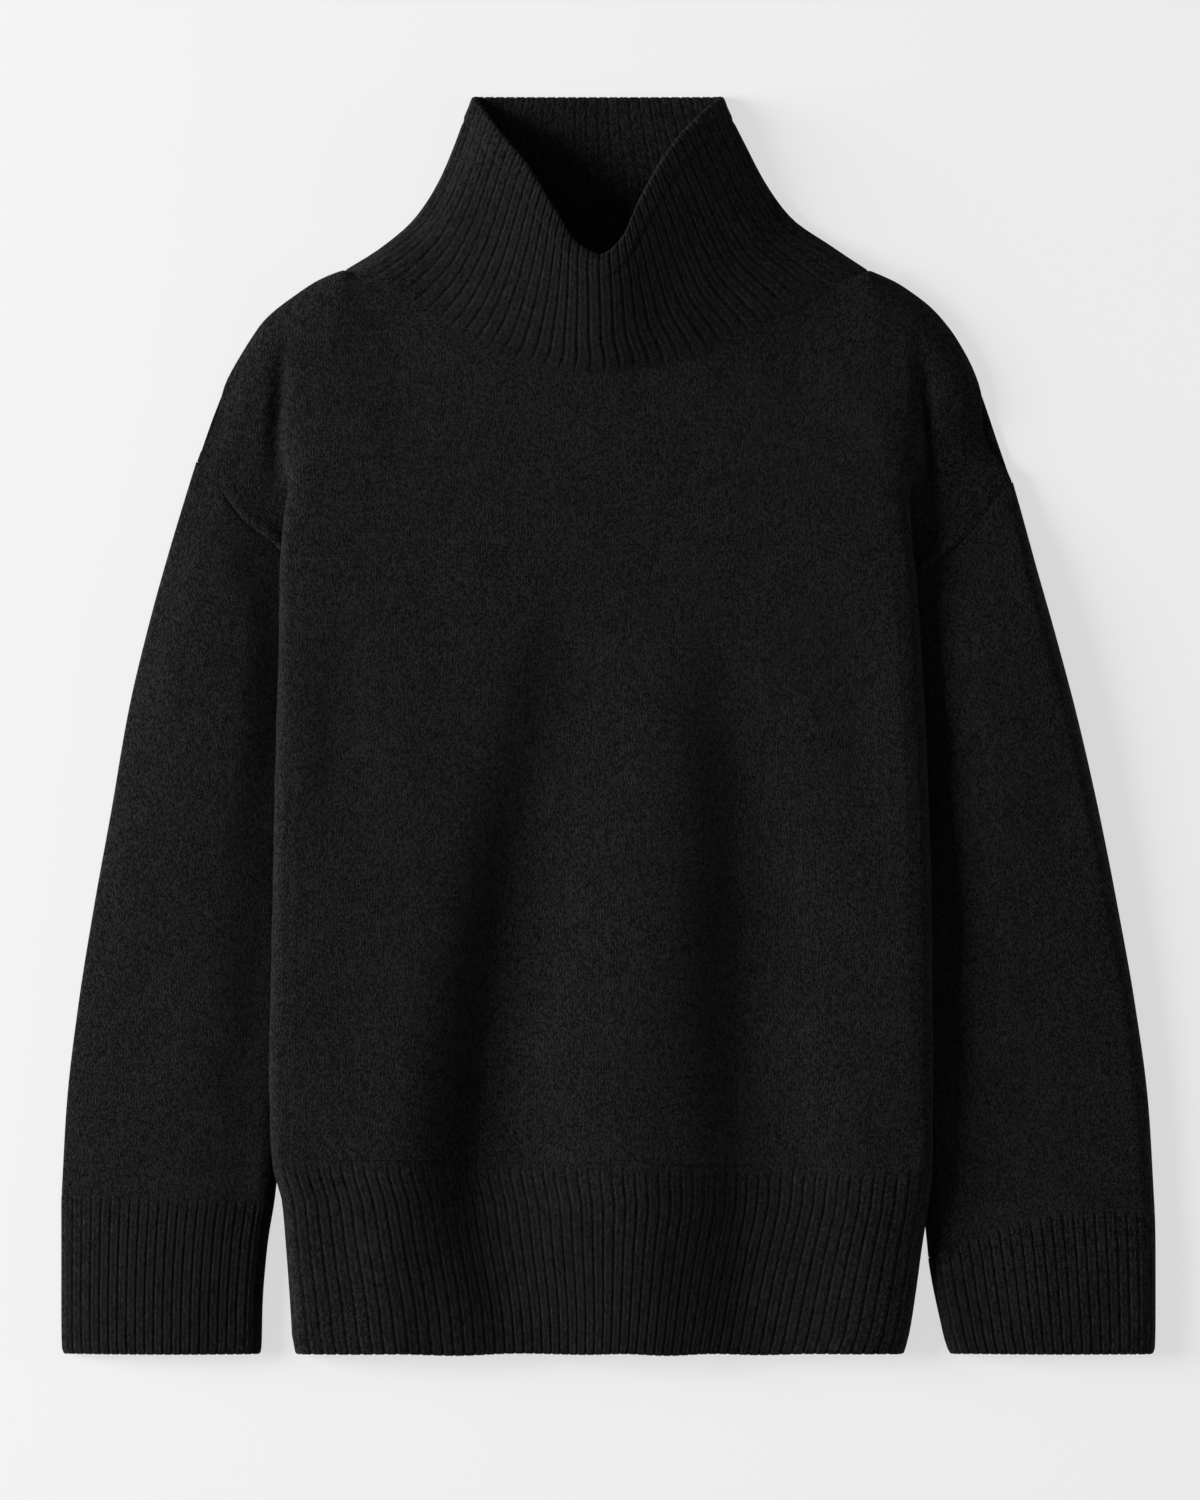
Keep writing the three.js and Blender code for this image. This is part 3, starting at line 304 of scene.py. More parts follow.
def upper_plan(u, w, bottom, back):
    b, t = bottom(u), top_edge(u, back)
    out = [lerp(b[i], t[i], w) for i in (0, 1)]
    for side, names in ((0, ("xL", "yL")), (1, ("xR", "yR"))):
        k = u if side == 0 else 1 - u
        spread = np.maximum(0, 1 - k / 0.19) ** 2
        q = np.full_like(u, float(side))
        b0, t0 = bottom(q), top_edge(q, back)
        for i in (0, 1):
            out[i] = out[i] + spread * (armhole[names[i]](1 - w) - lerp(b0[i], t0[i], w))
    return out


PATH_U = np.array([0.0, 0.03, 0.06, 0.085, 0.105, U_FOLD, 0.135, 0.155, U_CROWN])


def fold_path(k, y, left, half):
    way = np.where(left, 1.0, -1.0)
    xf = np.where(left, body["foldL"](y), body["foldR"](y)) + way * half
    seam = np.where(left, body["seamL"](y), body["seamR"](y))
    over = np.abs(seam - xf)
    zf, zc = body["fold"](y), body["crown"](y)
    reach = ROLL * 1.3
    q = np.clip(over / 9, 0, 1)
    z0 = np.zeros_like(over)
    xs = [over, over, over * lerp(0.8, 0.94, q), over * lerp(0.4, 0.5, q), over * 0.12, z0,
          z0 + reach * 0.1, z0 + reach * 0.36, z0 + reach]
    zs = [z0, 0.45 * zf * 0.62, 0.6 * zf - 0.6, 0.74 * zf - 0.5, 0.88 * zf, zf,
          lerp(zf, zc, 0.5), lerp(zf, zc, 0.82), zc]
    k = np.broadcast_to(k, over.shape)
    return xf + way * through(PATH_U, xs, k), through(PATH_U, zs, k)


def body_top(x, y):
    a, b = body["foldL"](y) + ROLL * 1.3, body["foldR"](y) - ROLL * 1.3
    t = np.clip((x - a) / (b - a), 0, 1)
    arch = np.sin(np.pi * t) ** 0.8
    return lerp(body["crown"](y), body["mid"](y), arch) + relief(x, y) * smooth(np.minimum(t, 1 - t) / 0.1 + 0.35)


def body_point(u, y, half, base):
    left = u < 0.5
    k = np.where(left, u, 1 - u)
    px, pz = fold_path(np.minimum(k, U_CROWN), y, left, half)
    crown = np.full_like(u, U_CROWN)
    a = fold_path(crown, y, np.ones_like(left), half)[0]
    b = fold_path(crown, y, np.zeros_like(left), half)[0]
    x = lerp(a, b, (u - U_CROWN) / (1 - 2 * U_CROWN))
    edge = k <= U_CROWN
    return np.where(edge, px, x), np.where(edge, np.maximum(pz, base), body_top(x, y))


def front_mid(u, v):
    half = WALL / 2
    left = u < 0.5
    k = np.where(left, u, 1 - u)
    # below the underarm
    t = np.clip(v / V_UNDERARM, 0, 1)
    gx, _ = body_point(u, lerp(HEM_SEAM_Y, underarm_y(u), t), half, SEAM_REST)
    y1 = lerp(hem_seam(gx) + GAP, underarm_y(u), t)
    x1, z1 = body_point(u, y1, half, SEAM_REST)
    z1 = z1 + np.where(k < 0.06, smooth((v - V_UNDERARM + 0.03) / 0.03) * (1 - k / 0.06) * 4, 0)

    # above it
    w = np.clip((v - V_UNDERARM) / (1 - V_UNDERARM), 0, 1)

    def bottom(q):
        x, _ = body_point(q, underarm_y(q), half, SEAM_REST)
        x = np.where(q <= 0, ARMHOLE["xL"][-1], np.where(q >= 1, ARMHOLE["xR"][-1], x))
        return x, underarm_y(q)

    def flat_bottom(q):
        lf = q < 0.5
        kk = np.where(lf, q, 1 - q)
        full = bottom(q)
        end = bottom(np.where(lf, 0.0, 1.0))
        crown = bottom(np.where(lf, U_CROWN, 1 - U_CROWN))
        return [np.where(kk >= U_CROWN, full[i], lerp(end[i], crown[i], kk / U_CROWN)) for i in (0, 1)]

    x, y = upper_plan(u, w, flat_bottom, False)
    s_neck = np.clip((u - U_NECK) / (1 - 2 * U_NECK), 0, 1)
    low = body_top(x, np.minimum(y, 208))
    rise = smooth((w - 0.25) / 0.75)
    edge_z = neck["z"](lerp(NECK_X0, NECK_X1, s_neck))
    top = lerp(np.maximum(edge_z, 15.5), edge_z, smooth((w - 0.8) / 0.2))
    edge = armhole["z"](1 - w)
    shoulder_z = lerp(15.5, top, smooth((k - U_CROWN) / 0.1))
    z_mid = lerp(low, shoulder_z, rise)
    crown_z = lerp(low, 15.5, rise)
    z_side = lerp(edge, crown_z, smooth(k / U_CROWN) * 0.6 + np.clip(k / U_CROWN, 0, 1) * 0.4)
    z = np.where(k > U_CROWN, z_mid, z_side)
    f = (1 - smooth((y - FOLD_FULL_Y) / (FOLD_GONE_Y - FOLD_FULL_Y))) * (k < U_CROWN)
    px, pz = fold_path(np.minimum(k, U_CROWN), y, left, half)
    x = lerp(x, px, f * smooth(k / 0.05))
    under = lerp(edge, pz, smooth(k / 0.06))
    z = lerp(z, np.maximum(under, np.where(k < 0.08, 8.2, 0)), f)
    q = (w - SHOULDER_DROP) / (1 - SHOULDER_DROP)
    on = 1 - smooth((k - 0.15) / 0.09)
    drop = lerp(SEAM_REST, z, np.sqrt(np.maximum(0, 1 - np.clip(q, 0, 1) ** 2)))
    z = np.where(q > 0, lerp(z, drop, on * smooth(k / 0.02 + 0.2)), z) + relief(x, y, FOLD_TIPS) * smooth(k / 0.04)
    z = np.maximum(z, SEAM_REST)
    low_part = v <= V_UNDERARM
    return np.stack([np.where(low_part, x1, x), np.where(low_part, y1, y), np.where(low_part, z1, z)], -1)


def back_mid(u, v):
    t = np.clip(v / V_UNDERARM, 0, 1)
    yv = lerp(HEM_SEAM_Y, underarm_y(u), t)
    blend = smooth((v - V_UNDERARM + 0.04) / 0.04)
    x0 = lerp(body["seamL"](yv) - 2, ARMHOLE["xL"][-1], blend)
    x1 = lerp(body["seamR"](yv) + 2, ARMHOLE["xR"][-1], blend)
    xa = lerp(x0, x1, u)
    ya = lerp(hem_seam(xa) + GAP, underarm_y(u), t)
    w = np.clip((v - V_UNDERARM) / (1 - V_UNDERARM), 0, 1)
    straight = lambda q: (lerp(ARMHOLE["xL"][-1], ARMHOLE["xR"][-1], q), underarm_y(q))
    xb, yb = upper_plan(u, w, straight, True)
    low = v <= V_UNDERARM
    return np.stack([np.where(low, xa, xb), np.where(low, ya, yb), np.full_like(u, WALL / 2)], -1)


def arm_normal(side, s):
    nx, ny = ("xL", "yL") if side == 0 else ("xR", "yR")
    dx = armhole[nx](s + 0.02) - armhole[nx](s - 0.02)
    dy = armhole[ny](s + 0.02) - armhole[ny](s - 0.02)
    ln = np.hypot(dx, dy)
    return -dy / ln, dx / ln


def limb_loop(table, side, sleeve, half, t, n):
    """One closed section of a sleeve or cuff at t: top out to in, then under."""
    c = curves(table, "t")
    o = np.array([float(c["ox"](t)), float(c["oy"](t))])
    i = np.array([float(c["ix"](t)), float(c["iy"](t))])
    width = float(np.hypot(*(i - o)))
    d = (i - o) / width
    nrm = np.array([-d[1], d[0]]) if d[0] > 0 else np.array([d[1], -d[0]])
    arch, h = float(c["arch"](t)), float(c["h"](t))
    ease = 0.5 - 0.5 * np.cos(np.pi * np.linspace(0, 1, n))
    s = np.concatenate([ease, ease[::-1][1:-1]])
    top = np.arange(len(s)) < n
    r = lerp(half / width, 1 - half / width, s)
    p = o[None] + (i - o)[None] * r[:, None] + nrm[None] * (arch * 4 * r * (1 - r))[:, None]
    if sleeve and t < 0.1:
        nx, ny = arm_normal(side, np.clip(s, 0.02, 0.98))
        way = np.where(ny > 0, -1.0, 1.0)
        k = lerp(0.006, 0.985, s)
        names = ("xL", "yL") if side == 0 else ("xR", "yR")
        first = np.stack([armhole[names[0]](k) + nx * way * CLOSE, armhole[names[1]](k) + ny * way * CLOSE], -1)
        p = lerp(first, p, smooth(t / 0.1))
    e = np.where(s < 0.5, OUTER_ROUND[side], EDGE_ROUND) / width
    tuck = lerp(TUCK_HEIGHT[0], TUCK_HEIGHT[side], float(smooth((t - 0.3) / 0.15) * (1 - smooth((t - 0.8) / 0.15)))) if sleeve else 10.4
    level = h * lerp(OUTER_LOW[side], 1, np.sin(np.pi / 2 * np.clip(s / 0.6, 0, 1))) * lerp(1, min(0.74, tuck / h), smooth((s - TUCK_FROM[side]) / (1 - TUCK_FROM[side])))
    edge = half + 2.1
    near = np.minimum(s, 1 - s)
    z = np.where(top, lerp(edge, level, quarter(near / e)), lerp(edge, half, quarter(near * width / 3.2)))
    if sleeve and t < 0.12:
        seam = front_mid(np.full_like(s, float(side)), 1 - lerp(0.006, 0.985, s) * (1 - V_UNDERARM))[:, 2]
        z = np.where(top, lerp(seam, z, smooth(t / 0.12)), z)
    return np.concatenate([p, z[:, None]], 1), s, width


def collar_mid(s, v, back):
    half = lerp(WALL / 2, RIB / 2, smooth(v / 0.09))
    xn = lerp(NECK_X0, NECK_X1, s)
    f = neck["back" if back else "front"]
    a, b = lerp(NECK_X0, NECK_X1, np.clip(s - 0.01, 0, 1)), lerp(NECK_X0, NECK_X1, np.clip(s + 0.01, 0, 1))
    dx, dy = b - a, f(b) - f(a)
    ln = np.hypot(dx, dy)
    low = (xn - dy / ln * CLOSE, f(xn) + dx / ln * CLOSE)
    corner = [(LIP["x"][0], LIP["y"][0]), (LIP["x"][-1], LIP["y"][0])]
    high = (lerp(corner[0][0], corner[1][0], s), corner[0][1] + 0 * s) if back else (lip["x"](s), lip["y"](s))
    left = (collar["xL"](v), collar["yL"](v))
    right = (collar["xR"](v), collar["yR"](v))
    start = [(NECK_X0, NECK["front"][0]), (NECK_X1, NECK["front"][-1])]
    out = []
    for i in (0, 1):
        el = left[i] - lerp(start[0][i], corner[0][i], v)
        er = right[i] - lerp(start[1][i], corner[1][i], v)
        out.append(lerp(low[i], high[i], v) + (1 - s) ** 1.6 * el + s**1.6 * er)
    width = right[0] - left[0]
    rise = quarter(np.minimum(s, 1 - s) * width / (5 if back else 14))
    edge = half + 2.4
    if back:
        level = half
    else:
        level = lerp(neck["z"](xn), lip["z"](s), smooth(v) * 0.35 + v * 0.65) + collar["bulge"](v) * np.sin(np.pi * s)
        level = np.maximum(level, edge)
    inset = half * np.cos(np.pi * s) * lerp(1, smooth(v / 0.15), smooth(np.minimum(s, 1 - s) / 0.03))
    return np.stack([out[0] + inset, out[1], lerp(edge, level, rise)], -1)


# ---------------------------------------------------------------- cloth
def wobble(x, y, seed, size):
    """Smooth uneven lie of the cloth, about +-1, no repeat over the garment."""
    rng = np.random.default_rng(seed)
    total = np.zeros(np.broadcast(x, y).shape)
    for _ in range(9):
        a = rng.uniform(0, 2 * np.pi)
        k = 2 * np.pi / (size * rng.uniform(0.6, 1.8))
        total = total + np.sin(k * (x * np.cos(a) + y * np.sin(a)) + rng.uniform(0, 6.28)) / 3
    return total


def rib_profile(phase):
    """Height of a 2x2 rib, 1 on its crest and 0 in its groove: two rounded
    columns side by side, then a narrow deep groove."""
    p = phase - np.floor(phase)
    a = np.abs(p - 0.5) * 2
    land = 1 - smooth((a - 0.60) / 0.36)
    dip = 0.30 * np.exp(-((p - 0.5) / 0.085) ** 2)
    return land - dip


def even(loop, n):
    """A closed loop resampled to n points evenly along its length."""
    closed = np.concatenate([loop, loop[:1]])
    d = np.concatenate([[0], np.cumsum(np.linalg.norm(np.diff(closed, axis=0), axis=1))])
    want = np.arange(n) / n * d[-1]
    return np.stack([np.interp(want, d, closed[:, i]) for i in range(3)], 1), d[-1]


def even_open(line, n):
    """An open line resampled to n points, its first end kept, its last left out."""
    d = np.concatenate([[0], np.cumsum(np.linalg.norm(np.diff(line, axis=0), axis=1))])
    want = np.arange(n) / n * d[-1]
    return np.stack([np.interp(want, d, line[:, i]) for i in range(3)], 1)


def normals(grid, ring):
    if ring:
        du = np.roll(grid, -1, 1) - np.roll(grid, 1, 1)
    else:
        du = np.gradient(grid, axis=1)
    dv = np.gradient(grid, axis=0)
    n = np.cross(du, dv)
    return n / (np.linalg.norm(n, axis=-1, keepdims=True) + 1e-12), dv


def shell(name, grid, out, inn, uv, ring, round_start=0.0, round_end=0.0, lift=None):
    """Closed shell round a grid of mid-wall points, out and inn its half
    thicknesses, with rounded free edges; uv counts stitches."""
    n, dv = normals(grid, ring)
    if lift is not None:
        grid = grid + lift[..., None] * n
    nv, nu = grid.shape[:2]
    out = np.broadcast_to(out, (nv, nu))
    inn = np.broadcast_to(inn, (nv, nu))
    faces_out, faces_in = grid + n * out[..., None], grid - n * inn[..., None]
    rows = [faces_out]
    uvs = [uv]

    def cap(j, sign, size):
        made, made_uv = [], []
        if size <= 0:
            return made, made_uv
        d = dv[j] * sign
        d = d - n[j] * np.sum(d * n[j], -1, keepdims=True)
        d = d / (np.linalg.norm(d, axis=-1, keepdims=True) + 1e-12)
        mid = (faces_out[j] + faces_in[j]) / 2
        half = (out[j] + inn[j])[:, None] / 2
        for a in (35, 65, 90, 115, 145):
            c, s = math.cos(math.radians(a)), math.sin(math.radians(a))
            made.append(mid + n[j] * half * c + d * half * s * size)
            made_uv.append(uv[j] + np.array([0, sign * s]))
        return made, made_uv

    end_rows, end_uv = cap(nv - 1, 1, round_end)
    start_rows, start_uv = cap(0, -1, round_start)
    strip = [faces_out[j] for j in range(nv)] + end_rows + [faces_in[j] for j in range(nv - 1, -1, -1)] + start_rows[::-1]
    strip_uv = [uv[j] for j in range(nv)] + end_uv + [uv[j] for j in range(nv - 1, -1, -1)] + start_uv[::-1]
    strip, strip_uv = np.array(strip), np.array(strip_uv)
    # cloth presses flat where it rests
    strip[..., 2] = np.maximum(strip[..., 2], 0)
    m = len(strip)
    idx = np.arange(m * nu).reshape(m, nu)
    nxt = np.roll(idx, -1, 0)
    if ring:
        a, b, c, d = idx, np.roll(idx, -1, 1), np.roll(nxt, -1, 1), nxt
    else:
        a, b, c, d = idx[:, :-1], idx[:, 1:], nxt[:, 1:], nxt[:, :-1]
    quads = np.stack([a, b, c, d], -1).reshape(-1, 4)
    if not ring:
        e = len(end_rows)
        for col, flip in ((0, False), (nu - 1, True)):
            o = idx[:nv, col]
            i = idx[nv + e:nv + e + nv, col][::-1]
            side = np.stack([o[:-1], o[1:], i[1:], i[:-1]], -1)
            quads = np.concatenate([quads, side[:, ::-1] if flip else side])
    mesh = bpy.data.meshes.new(name)
    co = strip.reshape(-1, 3) / 1000.0
    mesh.vertices.add(len(co))
    mesh.vertices.foreach_set("co", co.astype(np.float32).ravel())
    mesh.loops.add(len(quads) * 4)
    mesh.loops.foreach_set("vertex_index", quads.astype(np.int32).ravel())
    mesh.polygons.add(len(quads))
    mesh.polygons.foreach_set("loop_start", np.arange(0, len(quads) * 4, 4, dtype=np.int32))
    mesh.polygons.foreach_set("loop_total", np.full(len(quads), 4, np.int32))
    mesh.update(calc_edges=True)
    layer = mesh.uv_layers.new(name="knit")
    flat_uv = strip_uv.reshape(-1, 2)[quads.ravel()]
    layer.data.foreach_set("uv", flat_uv.astype(np.float32).ravel())
    mesh.polygons.foreach_set("use_smooth", np.ones(len(quads), bool))
    mesh.validate()
    # points that fall together in the corners become one
    bm = bmesh.new()
    bm.from_mesh(mesh)
    bmesh.ops.remove_doubles(bm, verts=bm.verts, dist=4e-6)
    bmesh.ops.dissolve_degenerate(bm, edges=bm.edges, dist=4e-6)
    bm.to_mesh(mesh)
    bm.free()
    mesh.set_sharp_from_angle(angle=math.radians(72))
    obj = bpy.data.objects.new(name, mesh)
    bpy.context.scene.collection.objects.link(obj)
    return obj


def row_length(grid, axes):
    """Running length along each row from its middle, over the given axes."""
    step = np.linalg.norm(np.diff(grid[..., axes], axis=1), axis=-1)
    run = np.concatenate([np.zeros((grid.shape[0], 1)), np.cumsum(step, 1)], 1)
    return run - run[:, grid.shape[1] // 2][:, None]


# ---------------------------------------------------------------- materials
def knit_material(name, tone, rib, bump_mm):
    """Brushed wool knit: stitch legs, loose fibre, uneven dye and a soft nap; its colour holds painted shade between
    the stitch legs and painted highlights on raised legs and fibre.
    """
    mat = bpy.data.materials.new(name)
    mat.use_nodes = True
    nt = mat.node_tree
    nt.nodes.clear()
    new, link = nt.nodes.new, nt.links.new

    def math_node(op, a, b=None, clamp=False):
        m = new("ShaderNodeMath")
        m.operation = op
        m.use_clamp = clamp
        for i, x in enumerate((a, b)):
            if x is None:
                continue
            if isinstance(x, (int, float)):
                m.inputs[i].default_value = x
            else:
                link(x, m.inputs[i])
        return m.outputs[0]

    out = new("ShaderNodeOutputMaterial")
    bsdf = new("ShaderNodeBsdfPrincipled")
    link(bsdf.outputs[0], out.inputs[0])
    uv = new("ShaderNodeUVMap")
    uv.uv_map = "knit"
    sep = new("ShaderNodeSeparateXYZ")
    link(uv.outputs[0], sep.inputs[0])
    # a little wander in the stitch columns and rows
    wander = new("ShaderNodeTexNoise")
    wander.inputs["Scale"].default_value = 0.22
    wander.inputs["Detail"].default_value = 2
    link(uv.outputs[0], wander.inputs["Vector"])
    w0 = math_node("MULTIPLY", math_node("SUBTRACT", wander.outputs["Fac"], 0.5), 0.9)
    x = math_node("ADD", sep.outputs[0], w0)
    y = math_node("ADD", sep.outputs[1], math_node("MULTIPLY", w0, 0.6))
    fx = math_node("FRACT", x)
    leg = math_node("ABSOLUTE", math_node("SUBTRACT", math_node("MULTIPLY", fx, 2.0), 1.0))
    across = math_node("SINE", math_node("MULTIPLY", leg, math.pi))
    fy = math_node("FRACT", math_node("SUBTRACT", y, math_node("MULTIPLY", leg, 0.75)))
    along = math_node("SINE", math_node("MULTIPLY", fy, math.pi))
    stitch = math_node("MULTIPLY", math_node("ADD", math_node("MULTIPLY", across, 0.85), 0.15),
                       math_node("ADD", math_node("MULTIPLY", along, 0.8), 0.2))
    # every leg of a stitch gets its own random height in the bump, and the same value painted into the colour as
    # light and shade, so each leg looks lit a little differently
    cell = new("ShaderNodeCombineXYZ")
    link(math_node("FLOOR", math_node("MULTIPLY", x, 2.0)), cell.inputs[0])
    link(math_node("FLOOR", math_node("MULTIPLY", math_node("SUBTRACT", y, math_node("MULTIPLY", leg, 0.75)), 1.3)), cell.inputs[1])
    yarn = new("ShaderNodeTexWhiteNoise")
    yarn.noise_dimensions = "2D"
    link(cell.outputs[0], yarn.inputs["Vector"])
    legs = math_node("SUBTRACT", yarn.outputs["Value"], 0.5)
    # loose fibre over the stitches, in real size
    geo = new("ShaderNodeTexCoord")
    fuzz = new("ShaderNodeTexNoise")
    fuzz.inputs["Scale"].default_value = 690
    fuzz.inputs["Detail"].default_value = 1.0
    fuzz.inputs["Roughness"].default_value = 0.7
    link(geo.outputs["Object"], fuzz.inputs["Vector"])
    clump = new("ShaderNodeTexNoise")
    clump.inputs["Scale"].default_value = 300
    clump.inputs["Detail"].default_value = 3
    link(geo.outputs["Object"], clump.inputs["Vector"])
    mottle = new("ShaderNodeTexNoise")
    mottle.inputs["Scale"].default_value = 38
    mottle.inputs["Detail"].default_value = 3
    link(geo.outputs["Object"], mottle.inputs["Vector"])
    height = math_node("ADD", math_node("ADD", math_node("MULTIPLY", stitch, 1.1), math_node("MULTIPLY", legs, 0.9)),
                       math_node("ADD", math_node("MULTIPLY", fuzz.outputs["Fac"], 1.3),
                                 math_node("MULTIPLY", clump.outputs["Fac"], 0.35)))
    bump = new("ShaderNodeBump")
    bump.inputs["Strength"].default_value = 1.0
    bump.inputs["Distance"].default_value = bump_mm / 1000.0
    link(height, bump.inputs["Height"])
    link(bump.outputs[0], bsdf.inputs["Normal"])
    # colour: painted shade between the legs and painted highlights where legs and fibre stand up, following the
    # bump's height, plus uneven dye from the mottle
    painted_light_and_dye = math_node("ADD", math_node("ADD", math_node("MULTIPLY", math_node("SUBTRACT", stitch, 0.49), 2.7), 0.42),
                      math_node("ADD", math_node("ADD", math_node("MULTIPLY", legs, 2.6), math_node("MULTIPLY", math_node("SUBTRACT", fuzz.outputs["Fac"], 0.5), 1.6)),
                                math_node("MULTIPLY", math_node("SUBTRACT", mottle.outputs["Fac"], 0.5), 0.55)))
    ramp = new("ShaderNodeValToRGB")
    ramp.color_ramp.elements[0].position = 0.0
    ramp.color_ramp.elements[1].position = 1.0
    dark = [c * 0.04 for c in tone]
    light = [c * 2.6 for c in tone]
    ramp.color_ramp.elements[0].color = (*dark, 1)
    ramp.color_ramp.elements[1].color = (*light, 1)
    link(painted_light_and_dye, ramp.inputs["Fac"])
    link(ramp.outputs["Color"], bsdf.inputs["Base Color"])
    rough = math_node("ADD", math_node("MULTIPLY", fuzz.outputs["Fac"], 0.12), 0.84)
    link(rough, bsdf.inputs["Roughness"])
    bsdf.inputs["Specular IOR Level"].default_value = 0.03
    bsdf.inputs["Sheen Weight"].default_value = 0.012
    bsdf.inputs["Sheen Roughness"].default_value = 0.735
    bsdf.inputs["Sheen Tint"].default_value = (1.0, 1.0, 1.0, 1)
    return mat


TONE = (0.0048, 0.0048, 0.0048)
plain = knit_material("plain_knit_wool", TONE, False, 0.32)
ribbed = knit_material("rib_knit_wool", TONE, True, 0.26)


def finish_piece(obj, node, mat):
    obj.data.materials.append(mat)
    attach(obj, "root")
    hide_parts(node)
    return obj


# ---------------------------------------------------------------- pieces
def spaced(stops, n):
    """n+1 parameters spread so that equal steps of stops[i][1] share them."""
    us = np.array([s[0] for s in stops])
    ws = np.array([s[1] for s in stops], float)
    return np.interp(np.linspace(0, ws[-1], n + 1), ws, us)


HALF_U = [(0.0, 0.0), (0.06, 12.0), (U_FOLD, 28.0), (U_CROWN, 46.0)]
FULL_U = HALF_U + [(1 - U_CROWN, 46.0 + 128.0)] + [(1 - u, 220.0 - w) for u, w in HALF_U[::-1][1:]]


def make_front():
    us = spaced(FULL_U, 220)
    vs = np.concatenate([np.linspace(0, V_UNDERARM, 96), V_UNDERARM + (1 - V_UNDERARM) * np.linspace(0, 1, 82)[1:] ** 0.97])
    U, V = np.meshgrid(us, vs)
    grid = front_mid(U, V)
    x, y = grid[..., 0], grid[..., 1]
    k = np.minimum(U, 1 - U)
    calm = smooth((k - 0.1) / 0.12)
    lift = wobble(x, y, 11, 95) * 0.55 * calm + wobble(x, y, 12, 38) * 0.16 * smooth(k / 0.05)
    # armhole seam: the edge of the front stands in a soft band beside it
    step = np.linalg.norm(np.diff(grid, axis=1), axis=-1)
    from_left = np.concatenate([np.zeros((len(vs), 1)), np.cumsum(step, 1)], 1)
    from_right = from_left[:, -1:] - from_left
    near = np.minimum(from_left, from_right)
    upper = smooth((V - V_UNDERARM) / 0.03)
    seam = np.exp(-((near - 3.8) / 2.6) ** 2) * 0.95 - 0.45 * np.exp(-(near / 1.2) ** 2)
    down = np.linalg.norm(np.diff(grid, axis=0), axis=-1)
    from_top = np.concatenate([np.cumsum(down[::-1], 0)[::-1], np.zeros((1, len(us)))], 0)
    on_neck = smooth((k - U_NECK) / 0.01)
    neck_dip = -0.12 * np.exp(-(from_top / 1.6) ** 2) * on_neck
    out = WALL / 2 + seam * upper + neck_dip
    # stitch columns run up the body and turn with the drop of the shoulder
    run = row_length(grid, [0, 2])
    across = run / WALE
    along = y / COURSE
    uv = np.stack([across + 0.5, along], -1)
    obj = shell("front_cloth", grid, out, WALL / 2, uv, False, lift=lift)
    return finish_piece(obj, "front_panel", plain)


def make_back():
    us = spaced(FULL_U, 90)
    vs = np.linspace(0, 1, 90)
    U, V = np.meshgrid(us, vs)
    grid = back_mid(U, V)
    lift = 0.0 * U
    uv = np.stack([grid[..., 0] / WALE, grid[..., 1] / COURSE], -1)
    obj = shell("back_cloth", grid, WALL / 2, WALL / 2, uv, False, lift=lift)
    return finish_piece(obj, "back_panel", plain)


def make_sleeve(side):
    table = SLEEVE_R if side == 0 else SLEEVE_L
    ts = np.concatenate([np.linspace(0, 0.1, 14), np.linspace(0.1, 1, 92)[1:]])
    loops, ss, widths = [], [], []
    for t in ts:
        p, s, width = limb_loop(table, side, True, WALL / 2, t, 110)
        loops.append(p)
        ss.append(s)
        widths.append(width)
    grid = np.array(loops)
    s = np.array(ss)
    width = np.array(widths)[:, None]
    middle = grid[:, 40]
    length = np.concatenate([[0], np.cumsum(np.linalg.norm(np.diff(middle, axis=0), axis=1))])[:, None]
    uv = np.stack([(s - 0.5) * width / WALE, -(length + 0 * s) / COURSE], -1)
    top = smooth((np.minimum(s, 1 - s) - 0.03) / 0.15) * (np.arange(grid.shape[1]) < 110)[None]
    lift = (wobble(grid[..., 0], grid[..., 1], 21 + side, 80) * 0.5
            + wobble(grid[..., 0], grid[..., 1], 31 + side, 34) * 0.15) * top
    out = WALL / 2 - 0.45 * np.exp(-(length / 1.4) ** 2) * smooth((np.minimum(s, 1 - s) - 0.02) / 0.06)
    flip = side == 1
    if flip:
        grid, uv, lift, out = grid[:, ::-1], uv[:, ::-1], lift[:, ::-1], out[:, ::-1]
    grid, uv, lift, out = grid[::-1], uv[::-1], lift[::-1], out[::-1]
    name = "sleeve_right_cloth" if side == 0 else "sleeve_left_cloth"
    obj = shell(name, grid, out, WALL / 2, uv, True, lift=lift)
    return finish_piece(obj, "sleeve_right" if side == 0 else "sleeve_left", plain)


def ribbed_shell(name, loops, ribs, start_round, end_round, lean=None, fade=None, bead=None, phase=0.0,
                 lift=None, spaced_already=False, deep=1.0):
    n = ribs * RIB_STEPS
    rows = list(loops) if spaced_already else [even(l, n)[0] for l in loops]
    grid = np.array(rows)
    if lean is not None:
        grid = lean(grid)
    idx = np.arange(n) / RIB_STEPS + phase
    prof = rib_profile(idx)[None] * np.ones((len(rows), 1))
    depth = RIB_DEPTH * deep * (np.ones(len(rows)) if fade is None else fade)[:, None]
    down = np.concatenate([[0], np.cumsum(np.linalg.norm(np.diff(grid[:, n // 4], axis=0), axis=1))])[:, None]
    flush = np.ones((len(rows), 1)) if fade is None else fade[:, None]
    out = lerp(WALL / 2, RIB / 2 + 0.3, flush) - depth * (1 - prof)
    inn = lerp(WALL / 2, RIB / 2, flush) - depth * (1 - prof) * 0.5
    if bead is not None:
        out = out + bead
        inn = inn + bead * 0.5
    # two stitch columns on each rib's crest and two sunk in its groove
    uv = np.stack([(idx[None] * 4 + 0 * prof), down / COURSE + 0 * prof], -1)
    return shell(name, grid, out, inn, uv, True, start_round, end_round, lift=lift)


